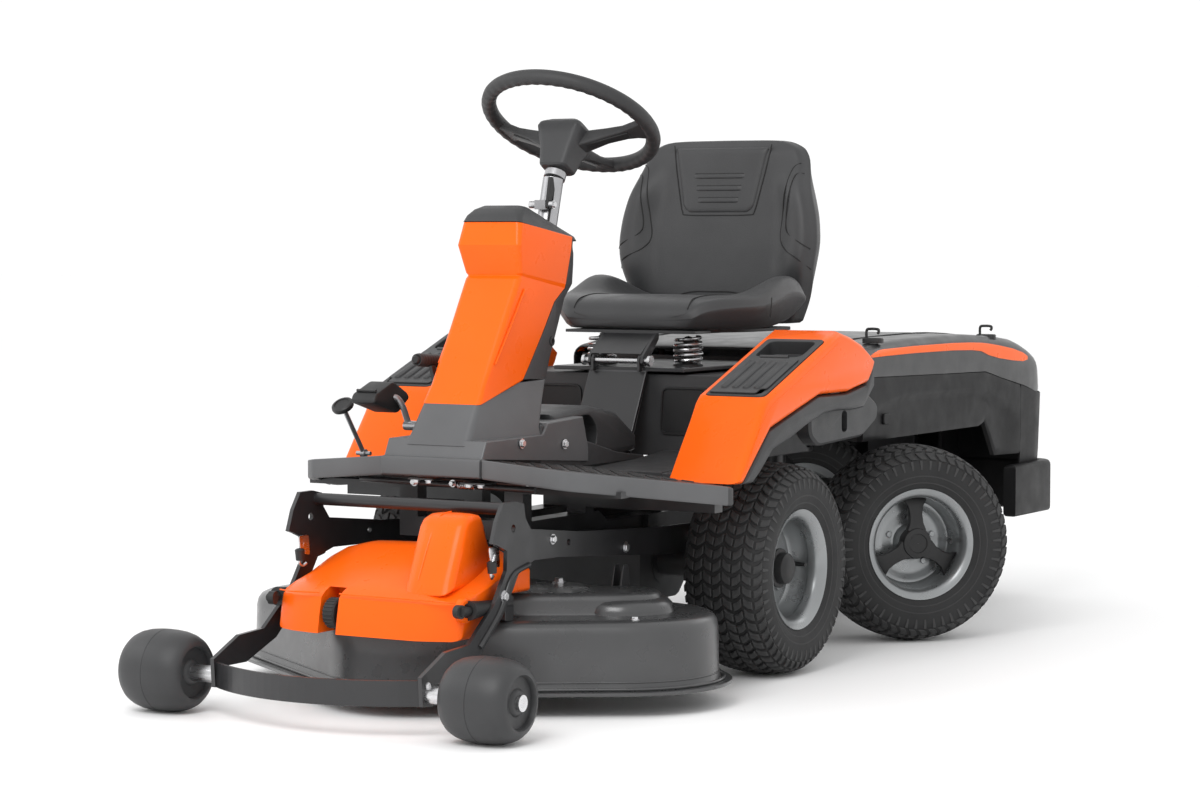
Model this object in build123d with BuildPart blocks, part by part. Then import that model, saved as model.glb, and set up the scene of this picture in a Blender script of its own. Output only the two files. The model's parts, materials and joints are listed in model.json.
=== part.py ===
from build123d import *
import math
import os

os.makedirs("parts", exist_ok=True)

# Articulated riding lawn mower with a front-mounted three-blade deck.
# X: left-hand side of the machine is +X.  Y: the deck is towards -Y, the
# engine towards +Y.  Z: up, ground at 0.  Geometry is laid out from the
# front axle and moved to the middle of the footprint when it is written.
ORIGIN_X = 36.0
ORIGIN_Y = 206.0

# ---- driving dimensions, millimetres ----
TYRE_R = 203.5
TYRE_W = 170.0
RIM_SEAT_R = 101.6
TRACK_HALF = 360.0
WHEELBASE = 887.0
PIVOT_Y = 703.5
STEER_REST = -43.45
AXLE_Z = 203.5
SHAFT_R = 12.5
RUN_GAP = 0.05
LIFT_Y = -40.0
LIFT_Z = 262.0
CROSS_Y = -670.0
CROSS_Z = 361.0
SIDE_X = 214.0
ROLLER_X = 338.0
ROLLER_Y = -954.0
ROLLER_R = 73.0
DECK_TOP = 166.0
DECK_RIM = 40.0
LOBE_R = 172.0
FLANGE_R = 197.0
SPINDLES = [(305.0, -450.0), (0.0, -650.0), (-305.0, -450.0)]
BLADE_HALF = 163.0
WHEEL_C = (0.0, -129.0, 1059.0)
WHEEL_TILT = 29.2
WHEEL_R = 164.0
HINGE_Y = 50.0
HINGE_Z = 592.0
HOOD_HINGE_Y = 1446.0
HOOD_HINGE_Z = 474.0
TRAY_SLOPE = 20.7

STEER = (
    Location((0, PIVOT_Y, 0))
    * Location((0, 0, 0), (0, 0, STEER_REST))
    * Location((0, -PIVOT_Y, 0))
)


def side_prism(points, x0, x1, mode=Mode.ADD):
    """Side profile in (y, z), extruded across the machine from x0 to x1."""
    with BuildSketch(Plane.YZ.offset(min(x0, x1))) as profile:
        Polygon(*points)
    return extrude(profile.sketch, amount=abs(x1 - x0), mode=mode)


def plan_prism(points, z0, z1, mode=Mode.ADD):
    """Plan profile in (x, y), extruded up from z0 to z1."""
    with BuildSketch(Plane.XY.offset(z0)) as profile:
        Polygon(*points)
    return extrude(profile.sketch, amount=z1 - z0, mode=mode)


def block(x0, x1, y0, y1, z0, z1, mode=Mode.ADD):
    """Rectangular block between two corners."""
    return plan_prism([(x0, y0), (x1, y0), (x1, y1), (x0, y1)], z0, z1, mode)


def rod(p0, p1, radius, mode=Mode.ADD):
    """Round bar between two points."""
    span = Vector(*p1) - Vector(*p0)
    with BuildSketch(Plane(origin=p0, z_dir=span)) as section:
        Circle(radius)
    return extrude(section.sketch, amount=span.length, mode=mode)


def turned(points, mode=Mode.ADD):
    """Profile in (x, radius) turned about the X axis through the origin."""
    with BuildSketch(Plane.XY) as section:
        Polygon(*points)
    return revolve(section.sketch, axis=Axis.X, mode=mode)


def bent_rod(points, radius, bend, mode=Mode.ADD):
    """Round bar along a path of straight runs with bent corners."""
    with BuildLine() as path:
        FilletPolyline(*points, radius=bend)
    start = Vector(*points[0])
    with BuildSketch(Plane(origin=start, z_dir=Vector(*points[1]) - start)) as section:
        Circle(radius)
    return sweep(section.sketch, path=path.line, mode=mode)


def write(shape, name, place=None):
    """Moves a finished piece to the footprint origin and writes its STEP."""
    placed = shape if place is None else shape.moved(place)
    placed = placed.moved(Location((-ORIGIN_X, -ORIGIN_Y, 0)))
    placed.label = name
    export_step(placed, f"parts/{name}.step")


# ================= chassis =================
with BuildPart() as main_frame:
    rail = [(-520, 286), (-520, 322), (-250, 322), (-220, 302), (150, 302), (330, 470), (1330, 470),
            (1330, 430), (348, 430), (168, 262), (-160, 262), (-250, 286)]
    side_prism(rail, 95, 135)
    block(135, 145, -80, 0, 234, 302)
    block(95, 135, -520, -490, 302, 385.5)
    block(135, 340, -520, -490, 374, 385.5)
    block(95, 135, -300, -270, 302, 356)
    block(135, 410, -300, -270, 334, 356)
    mirror(about=Plane.YZ)
    block(-95, 95, -520, -480, 286, 322)
    block(-95, 95, 100, 140, 266, 302)
    block(-95, 95, 640, 767, 430, 442)
    block(-95, 95, 1290, 1330, 430, 470)
    block(-95, 95, 480, 510, 434, 466)
    rod((0, PIVOT_Y, 425), (0, PIVOT_Y, 445), 22, mode=Mode.SUBTRACT)
    for tab_y in (560, 1220):
        block(-344, -130, tab_y, tab_y + 20, 452, 464)
        block(130, 344, tab_y, tab_y + 20, 452, 464)
    side_prism([(500, 466), (500, 470), (845, 470), (845, 466)], -340, -130)
    side_prism([(500, 466), (500, 470), (845, 470), (845, 466)], 130, 340)
    hinge_arm = [(1330, 440), (1400, 452), (1452, 466), (1456, 474), (1450, 481), (1440, 480),
                 (1396, 470), (1330, 470)]
    side_prism(hinge_arm, -30, -20)
    side_prism(hinge_arm, 20, 30)
    rod((-44, HOOD_HINGE_Y, HOOD_HINGE_Z), (44, HOOD_HINGE_Y, HOOD_HINGE_Z), 4)
write(main_frame.part, "main_frame")

with BuildPart() as kingpin:
    rod((0, PIVOT_Y, 240), (0, PIVOT_Y, 452), 22)
    rod((0, PIVOT_Y, 416), (0, PIVOT_Y, 430), 66)
    rod((0, PIVOT_Y, 236), (0, PIVOT_Y, 256), 36)
write(kingpin.part, "kingpin")

with BuildPart() as front_transaxle:
    side_prism([(-90, 160), (-60, 130), (60, 130), (95, 165), (95, 262), (-90, 262)], -132, 132)
    chamfer(front_transaxle.edges().filter_by(Axis.X).group_by(Axis.Z)[0], 8)
    rod((-238, 0, AXLE_Z), (238, 0, AXLE_Z), 27)
    rod((-134, 0, AXLE_Z), (134, 0, AXLE_Z), 44)
    rod((118, 0, AXLE_Z), (240, 0, AXLE_Z), SHAFT_R + RUN_GAP, mode=Mode.SUBTRACT)
    rod((-240, 0, AXLE_Z), (-118, 0, AXLE_Z), SHAFT_R + RUN_GAP, mode=Mode.SUBTRACT)
write(front_transaxle.part, "front_transaxle")

# footplates: flat moulded floors that fall away backwards and outwards
FLOOR = Plane(origin=(107, -615, 440), x_dir=(1, 0, -0.0807), z_dir=(0.0807, 0.094, 1))


def floor_point(x, y):
    z = 440 - 0.0807 * (x - 107) - 0.094 * (y + 615)
    local = FLOOR.to_local_coords(Vector(x, y, z))
    return (local.X, local.Y)


with BuildPart() as footplates:
    with BuildSketch(FLOOR) as outline:
        Polygon(*[floor_point(x, y) for x, y in [
            (108, -613), (262, -612), (280, -600), (440, -312), (444, -284),
            (298, -284), (298, -240), (108, -240)]])
    extrude(outline.sketch, amount=-20)
    with BuildSketch(FLOOR.offset(-5)) as well:
        Polygon(*[floor_point(x, y) for x, y in [
            (112, -607), (260, -606), (272, -596), (434, -312), (438, -290),
            (292, -290), (292, -246), (112, -246)]])
    extrude(well.sketch, amount=-16, mode=Mode.SUBTRACT)
    with BuildSketch(FLOOR) as rib_plan:
        for rib_y in (-540, -470, -400, -330):
            limit = 250 + (rib_y + 612) * 0.5
            Polygon(*[floor_point(x, y) for x, y in [
                (110, rib_y), (limit, rib_y), (limit, rib_y + 6), (110, rib_y + 6)]])
    extrude(rib_plan.sketch, amount=-20)
    mirror(about=Plane.YZ)
    for lug_x in (-314, -294):
        side_prism([(-414, 402), (-388, 400), (-388, 428), (-394, 434), (-406, 434), (-414, 428)],
                   lug_x, lug_x + 8)
    rod((-320, -400, 424), (-280, -400, 424), 4 + RUN_GAP, mode=Mode.SUBTRACT)
write(footplates.part, "footplates")

# ---- steering column covers: one outline, split into three shells ----
COLUMN = [(-389, 893), (-372, 899), (-330, 886), (-236, 843), (-205, 815), (-200, 800),
          (-207, 746), (-233, 731), (-317, 577), (-404, 474), (-596, 474), (-531, 568),
          (-428, 740), (-410, 769), (-423, 830), (-418, 866)]


def column_shell():
    side_prism(COLUMN, -66, 66)
    with BuildSketch(Plane.YZ.offset(-62)) as inside:
        Polygon(*COLUMN)
        offset(amount=-4, kind=Kind.INTERSECTION, mode=Mode.REPLACE)
    extrude(inside.sketch, amount=124, mode=Mode.SUBTRACT)
    block(-60, 60, -580, -424, 470, 482, mode=Mode.SUBTRACT)


with BuildPart() as column_top_cap:
    column_shell()
    side_prism([(-440, 866.4), (-418, 866.4), (-232, 838.4), (-180, 838.4), (-180, 930), (-440, 930)],
               -80, 80, mode=Mode.INTERSECT)
    rod((0, -234, 805), (0, -196.4, 940), 22.5, mode=Mode.SUBTRACT)
write(column_top_cap.part, "column_top_cap")

with BuildPart() as column_front_cover:
    column_shell()
    side_prism([(-440, 866), (-418, 866), (-232, 838), (-254, 737),
                (-292, 715), (-408, 573), (-470, 470), (-640, 470), (-640, 700)],
               -80, 80, mode=Mode.INTERSECT)
    rod((0, -240.5, 780), (0, -196.4, 940), 22.5, mode=Mode.SUBTRACT)
    rod((-80, -450, 520), (-66, -450, 520), 12)
    rod((-96, -450, 520), (-80, -450, 520), 5)
    rod((-96, -450, 520), (-92.4, -450, 520), 10)
write(column_front_cover.part, "column_front_cover")

with BuildPart() as column_rear_cover:
    column_shell()
    side_prism([(-230, 838), (-251.4, 735.4), (-289, 712.6), (-405, 571),
                (-467, 470), (-380, 470), (-180, 700), (-180, 838)],
               -80, 80, mode=Mode.INTERSECT)
    rod((0, -240.5, 780), (0, -196.4, 940), 22.5, mode=Mode.SUBTRACT)
write(column_rear_cover.part, "column_rear_cover")

with BuildPart() as column_shoe:
    side_prism([(-612, 441), (-597, 472), (-430, 473.6), (-403.4, 473.6), (-386, 494), (-260, 500),
                (-240, 440), (-240, 414)], -106, 106)
    side_prism([(-606, 436), (-592, 466), (-428, 467), (-401, 467), (-384, 488), (-264, 493),
                (-246, 437), (-244, 400)], -101, 101, mode=Mode.SUBTRACT)
    block(-60, 60, -590, -440, 460, 480, mode=Mode.SUBTRACT)
    side_prism([(-484, 472.8), (-456, 472.8), (-460, 494), (-466, 499), (-474, 499), (-480, 494)], -104, -94)
    rod((-110, -470, 486), (-80, -470, 486), 5 + RUN_GAP, mode=Mode.SUBTRACT)
write(column_shoe.part, "column_shoe")

# ---- steering column and wheel ----
AXIS_DIR = Vector(0, math.sin(math.radians(WHEEL_TILT)), math.cos(math.radians(WHEEL_TILT)))


def on_axis(s):
    """Point on the steering-wheel axis, s millimetres above the ring plane."""
    return (0, WHEEL_C[1] + s * AXIS_DIR.Y, WHEEL_C[2] + s * AXIS_DIR.Z)


with BuildPart() as steering_tube:
    rod((0, -246.4, 762), (0, -194, 948), 20)
    rod((0, -246.6, 761), (0, -193, 951), 16.5, mode=Mode.SUBTRACT)
    side_prism([(-243, 890), (-212, 890), (-210, 908), (-243, 908)], -12, 12)
    rod((0, -246.6, 761), (0, -193, 951), 16.5, mode=Mode.SUBTRACT)
    rod((-20, -236, 899), (20, -236, 899), 4, mode=Mode.SUBTRACT)
    rod(on_axis(-126), on_axis(-113), 21)
    rod(on_axis(-130), on_axis(-112), 9, mode=Mode.SUBTRACT)
    side_prism([(-340, 655), (-292, 655), (-266, 704), (-284, 716), (-340, 690)], -34, 34)
    rod((0, -360, 588), (0, -312, 657), 12)
write(steering_tube.part, "steering_tube")

RING = Plane(origin=WHEEL_C, x_dir=(1, 0, 0), z_dir=AXIS_DIR)
with BuildPart() as steering_wheel:
    with Locations(RING):
        Torus(WHEEL_R, 15)
    with BuildSketch(RING.offset(-104)) as low:
        Circle(31)
    with BuildSketch(RING.offset(-24)) as high:
        Circle(50)
    loft([low.sketch, high.sketch])
    for turn in (8, 172, 90):
        a = math.radians(turn)
        out = Vector(math.cos(a), math.sin(a) * AXIS_DIR.Z, -math.sin(a) * AXIS_DIR.Y)
        near = Vector(*WHEEL_C) + out * 30 - AXIS_DIR * 44
        far = Vector(*WHEEL_C) + out * (WHEEL_R - 4) - AXIS_DIR * 4
        with BuildSketch(Plane(origin=near, x_dir=AXIS_DIR.cross(out), z_dir=far - near)) as arm:
            Rectangle(36, 14)
        extrude(arm.sketch, amount=(far - near).length)
    rod(on_axis(-110), on_axis(-90), 13, mode=Mode.SUBTRACT)
    rod(on_axis(-122), on_axis(-84), 8.95)
    with BuildSketch(RING.offset(-24)) as cap_low:
        Circle(48)
    with BuildSketch(RING.offset(-12)) as cap_high:
        Circle(42)
    loft([cap_low.sketch, cap_high.sketch])
write(steering_wheel.part, "steering_wheel")

# plain pivot pins: lift frame, seat and column clamp
with BuildPart() as pivot_pins:
    rod((145, LIFT_Y, LIFT_Z), (222.4, LIFT_Y, LIFT_Z), 10)
    rod((222.4, LIFT_Y, LIFT_Z), (229, LIFT_Y, LIFT_Z), 17)
    rod((145, LIFT_Y, LIFT_Z), (213.6, LIFT_Y, LIFT_Z), 15)
    mirror(about=Plane.YZ)
    rod((-72, HINGE_Y, HINGE_Z), (72, HINGE_Y, HINGE_Z), 6)
    rod((72, HINGE_Y, HINGE_Z), (78, HINGE_Y, HINGE_Z), 11)
    rod((-78, HINGE_Y, HINGE_Z), (-72, HINGE_Y, HINGE_Z), 11)
    rod((-20, -236, 899), (19.4, -236, 899), 4)
    rod((19.4, -236, 899), (26, -236, 899), 8)
    rod((-26, -236, 899), (-12.2, -236, 899), 7)
write(pivot_pins.part, "pivot_pins")

with BuildPart() as column_lever:
    side_prism([(-244, 893), (-228, 891), (-219, 928), (-224, 952), (-233, 952), (-241, 915)], 12.6, 19)
    rod((0, -236, 899), (30, -236, 899), 4.05, mode=Mode.SUBTRACT)
write(column_lever.part, "column_lever")

# ================= seat and its support =================
with BuildPart() as seat_support:
    side_prism([(HINGE_Y + 2, 571), (HINGE_Y + 2, 579), (420, 579), (420, 571)], -150, 150)
    side_prism([(50, 571), (58, 571), (-6, 440), (-6, 302), (-14, 302), (-14, 440)], -66, 66)
    block(-135, 135, -14, -6, 302, 326)
    for ear_x in (-56, 50):
        side_prism([(40, 571), (60, 571), (60, 596), (54, 604), (46, 604), (40, 596)], ear_x, ear_x + 6)
    rod((-70, HINGE_Y, HINGE_Z), (70, HINGE_Y, HINGE_Z), 6, mode=Mode.SUBTRACT)
    block(-120, -100, 380, 400, 470, 571)
    block(100, 120, 380, 400, 470, 571)
    block(-120, -100, 330, 350, 470, 571)
    block(100, 120, 330, 350, 470, 571)
write(seat_support.part, "seat_support")

with BuildPart() as seat_springs:
    for side in (-1, 1):
        for low in (583.2, 599, 615, 631):
            with Locations((side * 100, 160, low)):
                Torus(26, 4)
        rod((side * 100, 160, 579), (side * 100, 160, 641), 9)
        rod((side * 100 + 26, 160, 579.2), (side * 100 + 26, 160, 632), 3)
write(seat_springs.part, "seat_springs")

with BuildPart() as seat_bracket:
    for ear_x in (-63, 57):
        side_prism([(40, 588), (46, 581), (56, 581), (61, 588), (106, 634), (106, 645),
                    (96, 645), (42, 602)], ear_x, ear_x + 6)
    side_prism([(35, 600), (40, 595.5), (104, 637), (104, 645), (98, 645)], -57, 57)
    block(-150, 150, 98, 430, 645, 651)
    rod((-70, HINGE_Y, HINGE_Z), (70, HINGE_Y, HINGE_Z), 6 + RUN_GAP, mode=Mode.SUBTRACT)
    block(-57, 57, 30, 70, 575, 606, mode=Mode.SUBTRACT)
write(seat_bracket.part, "seat_bracket")

with BuildPart() as seat_cushion:
    side_prism([(92, 668), (110, 652), (452, 652), (452, 700), (430, 722), (330, 716),
                (200, 722), (112, 716), (92, 700)], -246, 246)
    side_prism([(240, 700), (452, 700), (452, 770), (380, 772), (300, 745)], 150, 246)
    side_prism([(240, 700), (452, 700), (452, 770), (380, 772), (300, 745)], -246, -150)
write(seat_cushion.part, "seat_cushion")

with BuildPart() as seat_back:
    with BuildSketch(Plane(origin=(0, 452.6, 652), x_dir=(1, 0, 0), z_dir=(0, 1, 0))) as back:
        Polygon((-205, 0), (205, 0), (222, -80), (237, -170), (222, -260), (203, -310),
                (187, -372), (114, -388), (-114, -388), (-187, -372), (-203, -310),
                (-222, -260), (-237, -170), (-222, -80))
    extrude(back.sketch, amount=84)
    side_prism([(420, 790), (453, 770), (453, 1010), (440, 960)], 120, 200)
    side_prism([(420, 790), (453, 770), (453, 1010), (440, 960)], -200, -120)
write(seat_back.part, "seat_back")

# ================= fenders, trays, liners =================
FENDER = [(-278, 386), (-156, 541), (148, 656), (250, 628), (314, 592), (280, 548),
          (192, 534), (69, 534), (-140, 479), (-249, 384)]
SLOPE = Plane(origin=(372, -25, 590.5), x_dir=(1, 0, 0),
              z_dir=(0, -math.sin(math.radians(TRAY_SLOPE)), math.cos(math.radians(TRAY_SLOPE))))

with BuildPart() as fenders:
    side_prism(FENDER, 300, 445)
    with BuildSketch(Plane.YZ.offset(296)) as cavity:
        Polygon(*FENDER)
        offset(amount=-4, kind=Kind.INTERSECTION, mode=Mode.REPLACE)
    extrude(cavity.sketch, amount=145, mode=Mode.SUBTRACT)
    with BuildSketch(SLOPE.offset(-12)) as opening:
        with Locations((0, -2)):
            Rectangle(126, 278)
    extrude(opening.sketch, amount=30, mode=Mode.SUBTRACT)
    mirror(about=Plane.YZ)
write(fenders.part, "fenders")

with BuildPart() as trays:
    with BuildSketch(SLOPE.offset(-32)) as body:
        with Locations((0, -2)):
            RectangleRounded(125, 277, 12)
    extrude(body.sketch, amount=32)
    with BuildSketch(SLOPE.offset(-28)) as pocket:
        with Locations((0, -50)):
            RectangleRounded(104, 160, 10)
        with Locations((0, 86)):
            Circle(40)
    extrude(pocket.sketch, amount=40, mode=Mode.SUBTRACT)
    with BuildSketch(SLOPE) as hinge_lug:
        for lug_x in (-40, 40):
            with Locations((lug_x, 38)):
                Rectangle(14, 9)
    extrude(hinge_lug.sketch, amount=9)
    rod(tuple(SLOPE.from_local_coords(Vector(-60, 38, 4.5))),
        tuple(SLOPE.from_local_coords(Vector(60, 38, 4.5))), 2 + RUN_GAP, mode=Mode.SUBTRACT)
    mirror(about=Plane.YZ)
write(trays.part, "trays")

with BuildPart() as tray_lid_left:
    with BuildSketch(SLOPE.offset(0.4)) as panel:
        with Locations((0, -51.5)):
            RectangleRounded(112, 163, 8)
    extrude(panel.sketch, amount=4.5)
    with BuildSketch(SLOPE.offset(4.9)) as ribs:
        for rib_x in (-34, 0, 34):
            with Locations((rib_x, -52)):
                RectangleRounded(14, 130, 6)
    extrude(ribs.sketch, amount=4)
    with BuildSketch(SLOPE.offset(0.4)) as knuckle:
        Rectangle(60, 2)
        with Locations((0, 33.75)):
            Rectangle(58, 11.5)
    extrude(knuckle.sketch, amount=6)
    rod(tuple(SLOPE.from_local_coords(Vector(-46, 38, 4.5))),
        tuple(SLOPE.from_local_coords(Vector(46, 38, 4.5))), 2)
write(tray_lid_left.part, "tray_lid_left")
with BuildPart() as tray_lid_right:
    mirror(tray_lid_left.part, about=Plane.YZ)
write(tray_lid_right.part, "tray_lid_right")

with BuildPart() as arch_trims:
    side_prism([(-245, 383.4), (-137, 477), (69.4, 531.6), (192.4, 531.6), (279, 544.6), (288, 539),
                (193, 525), (70, 525), (-134, 470.6), (-238, 383.4)], 300.4, 440)
    side_prism([(40, 470), (120, 428), (340, 436), (420, 470), (420, 478), (336, 444), (122, 436), (44, 478)],
               300, 400)
    with BuildSketch(Plane.XY.offset(400)) as slot:
        with Locations((352, 240)):
            SlotOverall(90, 34, rotation=90)
    extrude(slot.sketch, amount=90, mode=Mode.SUBTRACT)
    side_prism([(200, 436), (208, 436), (208, 530), (200, 530)], 300, 306)
    side_prism([(380, 466), (420, 466), (420, 560), (410, 560)], 292, 300)
    mirror(about=Plane.YZ)
write(arch_trims.part, "arch_trims")

# tunnel between the footplates and under the seat
with BuildPart() as tunnel_cover:
    side_prism([(-238, 404), (-238, 500), (-190, 520), (-40, 520), (-20, 430), (-20, 404)], -106, 106)
    side_prism([(66, 404), (66, 566), (312, 566), (312, 404)], -290, 290)
    side_prism([(-20, 404), (-20, 420), (66, 420), (66, 404)], -106, -68)
    side_prism([(-20, 404), (-20, 420), (66, 420), (66, 404)], 68, 106)
    side_prism([(-234, 396), (-234, 496), (-188, 515), (-44, 515), (-24, 431), (-24, 396)], -102, 102,
               mode=Mode.SUBTRACT)
    side_prism([(70, 396), (70, 561), (318, 561), (318, 396)], -286, 286, mode=Mode.SUBTRACT)
    with BuildSketch(Plane.YZ.offset(98)) as arch:
        with Locations((-120, 450)):
            Rectangle(90, 60)
        with Locations((-120, 480)):
            Circle(45)
    extrude(arch.sketch, amount=10, mode=Mode.SUBTRACT)
write(tunnel_cover.part, "tunnel_cover")

# ================= hood, side panels and rear =================
HOOD = [(460, 549), (460, 602), (520, 612), (700, 622), (1000, 622), (1250, 604), (1400, 560),
        (1440, 486), (1392, 475), (1276, 500), (1078, 537)]
with BuildPart() as hood_shell:
    side_prism(HOOD, -350, 350)
    with BuildSketch(Plane.YZ.offset(-346)) as hood_inside:
        Polygon((450, 480), (450, 598), (520, 608), (700, 618), (1000, 618), (1250, 600),
                (1397, 557), (1434, 490), (1434, 440))
    extrude(hood_inside.sketch, amount=692, mode=Mode.SUBTRACT)
    block(-255, 255, 440, 548, 470, 640, mode=Mode.SUBTRACT)
    block(-251, 251, 548, 552, 560, 610)
    for ear_x in (-42, 34):
        side_prism([(1424, 506), (1438, 484), (1455, 480), (1455, 467), (1438, 467), (1420, 494)],
                   ear_x, ear_x + 6)
    side_prism([(1405, 510), (1411, 502), (1430, 502), (1422, 516), (1400, 556), (1396, 548)], -42, 40)
    rod((-44, HOOD_HINGE_Y, HOOD_HINGE_Z), (44, HOOD_HINGE_Y, HOOD_HINGE_Z), 4 + RUN_GAP, mode=Mode.SUBTRACT)
write(hood_shell.part, "hood_shell")

STRIPE = [(462, 601), (700, 601), (900, 599), (1120, 592), (1300, 562), (1306, 556), (1290, 556),
          (1110, 568), (900, 590), (700, 594), (462, 596)]
with BuildPart() as hood_stripes:
    side_prism(STRIPE, 350, 352.5)
    mirror(about=Plane.YZ)
write(hood_stripes.part, "hood_stripes")

with BuildPart() as hood_hooks:
    for hook_x, hook_y in ((318, 560), (318, 1150), (-318, 560), (-318, 1150)):
        top = 622 if hook_y < 1000 else 612.4
        block(hook_x - 18, hook_x + 18, hook_y - 9, hook_y + 9, top, top + 5)
        block(hook_x - 18, hook_x - 11, hook_y - 9, hook_y + 9, top + 5, top + 26)
        block(hook_x - 18, hook_x + 16, hook_y - 9, hook_y + 9, top + 20, top + 26)
        block(hook_x + 9, hook_x + 16, hook_y - 9, hook_y + 9, top + 13, top + 20)
write(hood_hooks.part, "hood_hooks")

with BuildPart() as side_panels:
    side_prism([(462, 547.6), (1077, 535.6), (1275, 498.6), (1275, 345), (1150, 345), (1090, 428),
                (462, 428)], 344, 350)
    mirror(about=Plane.YZ)
write(side_panels.part, "side_panels")

with BuildPart() as rear_cowl:
    side_prism([(1278, 498), (1391, 473.4), (1432, 481), (1428, 400), (1400, 345), (1278, 345)], -350, 350)
    side_prism([(1270, 520), (1391, 520), (1428, 500), (1424, 401), (1397, 349), (1397, 330), (1270, 330)],
               -345, 345, mode=Mode.SUBTRACT)
    block(-150, 150, 1270, 1398, 330, 500, mode=Mode.SUBTRACT)
    block(-60, 60, 1380, 1444, 425, 500, mode=Mode.SUBTRACT)
write(rear_cowl.part, "rear_cowl")

with BuildPart() as rear_bumper:
    with BuildSketch(Plane.XY.offset(200)) as band:
        Polygon((-375, 1190), (-375, 1400), (-340, 1442), (340, 1442), (375, 1400), (375, 1190),
                (368, 1190), (368, 1398), (337, 1435), (-337, 1435), (-368, 1398), (-368, 1190))
    extrude(band.sketch, amount=104)
    for arm_x in (-143, 135):
        side_prism([(1302, 469), (1396, 469), (1396, 330), (1435, 300), (1435, 236), (1302, 300)],
                   arm_x, arm_x + 8)
write(rear_bumper.part, "rear_bumper")

with BuildPart() as tow_hitch:
    block(-60, 60, 1330, 1338, 320, 438)
    block(-50, 50, 1338, 1420, 320, 330)
    side_prism([(1338, 330), (1338, 420), (1400, 330)], -50, -42)
    side_prism([(1338, 330), (1338, 420), (1400, 330)], 42, 50)
    with Locations((0, 1385, 330)):
        Hole(8, 20)
write(tow_hitch.part, "tow_hitch")

# ---- engine bay ----
with BuildPart() as engine_block:
    block(-140, 140, 860, 1120, 470, 520)
    block(-95, 95, 900, 1080, 520, 556)
    rod((-95, 1010, 528), (-205, 1060, 528), 42)
    rod((95, 1010, 528), (205, 1060, 528), 42)
    for fin in range(5):
        start = 118 + fin * 16
        for side in (-1, 1):
            rod((side * start, 1010 + (start - 95) * 0.4545, 528),
                (side * (start + 5), 1010 + (start - 90) * 0.4545, 528), 54)
    with BuildSketch(Plane.XY.offset(556)) as drum:
        with Locations((0, 985)):
            Circle(112)
    extrude(drum.sketch, amount=40)
    with BuildSketch(Plane.XY.offset(560)) as drum_inside:
        with Locations((0, 985)):
            Circle(106)
    extrude(drum_inside.sketch, amount=60, mode=Mode.SUBTRACT)
    with BuildSketch(Plane.XY.offset(584)) as grille:
        for ring_r in (30, 55, 80):
            with Locations((0, 985)):
                Circle(ring_r)
                Circle(ring_r - 5, mode=Mode.SUBTRACT)
        with Locations((0, 985)):
            Rectangle(216, 6)
            Rectangle(6, 216)
    extrude(grille.sketch, amount=11)
write(engine_block.part, "engine_block")

with BuildPart() as muffler:
    block(-120, 120, 1140, 1250, 474, 560)
    fillet(muffler.edges().filter_by(Axis.X), 30)
    rod((70, 1195, 520), (190, 1195, 520), 16)
    rod((150, 1195, 520), (200, 1195, 520), 11, mode=Mode.SUBTRACT)
write(muffler.part, "muffler")

with BuildPart() as fuel_tank:
    block(170, 332, 560, 830, 470, 590)
    fillet(fuel_tank.edges().filter_by(Axis.Z), 28)
    rod((250, 700, 590), (250, 700, 611), 30)
write(fuel_tank.part, "fuel_tank")

with BuildPart() as battery:
    block(-330, -180, 570, 760, 470, 580)
    rod((-300, 600, 580), (-300, 600, 592), 8)
    rod((-210, 600, 580), (-210, 600, 592), 8)
write(battery.part, "battery")

# ================= rear bogie =================
with BuildPart() as bogie_frame:
    rod((0, PIVOT_Y, 262), (0, PIVOT_Y, 412), 36)
    side_prism([(700, 300), (800, 300), (800, 262), (700, 262)], -60, 60)
    side_prism([(700, 300), (740, 300), (800, 300), (712, 395), (700, 395)], -8, 8)
    block(-100, 100, 790, 980, 276, 300)
    rod((0, PIVOT_Y, 372), (0, PIVOT_Y, 382), 96)
    rod((0, PIVOT_Y, 200), (0, PIVOT_Y, 420), 22 + RUN_GAP, mode=Mode.SUBTRACT)
write(bogie_frame.part, "bogie_frame", STEER)

AXLE_Y = WHEELBASE
with BuildPart() as rear_transaxle:
    side_prism([(AXLE_Y - 84, 160), (AXLE_Y - 60, 134), (AXLE_Y + 60, 134), (AXLE_Y + 84, 160),
                (AXLE_Y + 84, 276), (AXLE_Y - 60, 276), (AXLE_Y - 84, 254)], -118, 118)
    rod((-238, AXLE_Y, AXLE_Z), (238, AXLE_Y, AXLE_Z), 27)
    rod((-136, AXLE_Y, AXLE_Z), (136, AXLE_Y, AXLE_Z), 44)
    rod((118, AXLE_Y, AXLE_Z), (240, AXLE_Y, AXLE_Z), SHAFT_R + RUN_GAP, mode=Mode.SUBTRACT)
    rod((-240, AXLE_Y, AXLE_Z), (-118, AXLE_Y, AXLE_Z), SHAFT_R + RUN_GAP, mode=Mode.SUBTRACT)
write(rear_transaxle.part, "rear_transaxle", STEER)

# ================= wheels, turned about their own axis, outer side +X =================
HALF_W = TYRE_W / 2
with BuildPart() as tyre:
    turned([(-66, RIM_SEAT_R), (-66, 116), (-76, 124), (-85, 150), (-84, 178), (-74, 194), (-50, 202),
            (-30, TYRE_R), (30, TYRE_R), (50, 202), (74, 194), (84, 178), (85, 150), (76, 124),
            (66, 116), (66, RIM_SEAT_R), (52, RIM_SEAT_R), (52, 108), (72, 132), (74, 176),
            (50, 192), (-50, 192), (-74, 176), (-72, 132), (-52, 108), (-52, RIM_SEAT_R)])

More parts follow.
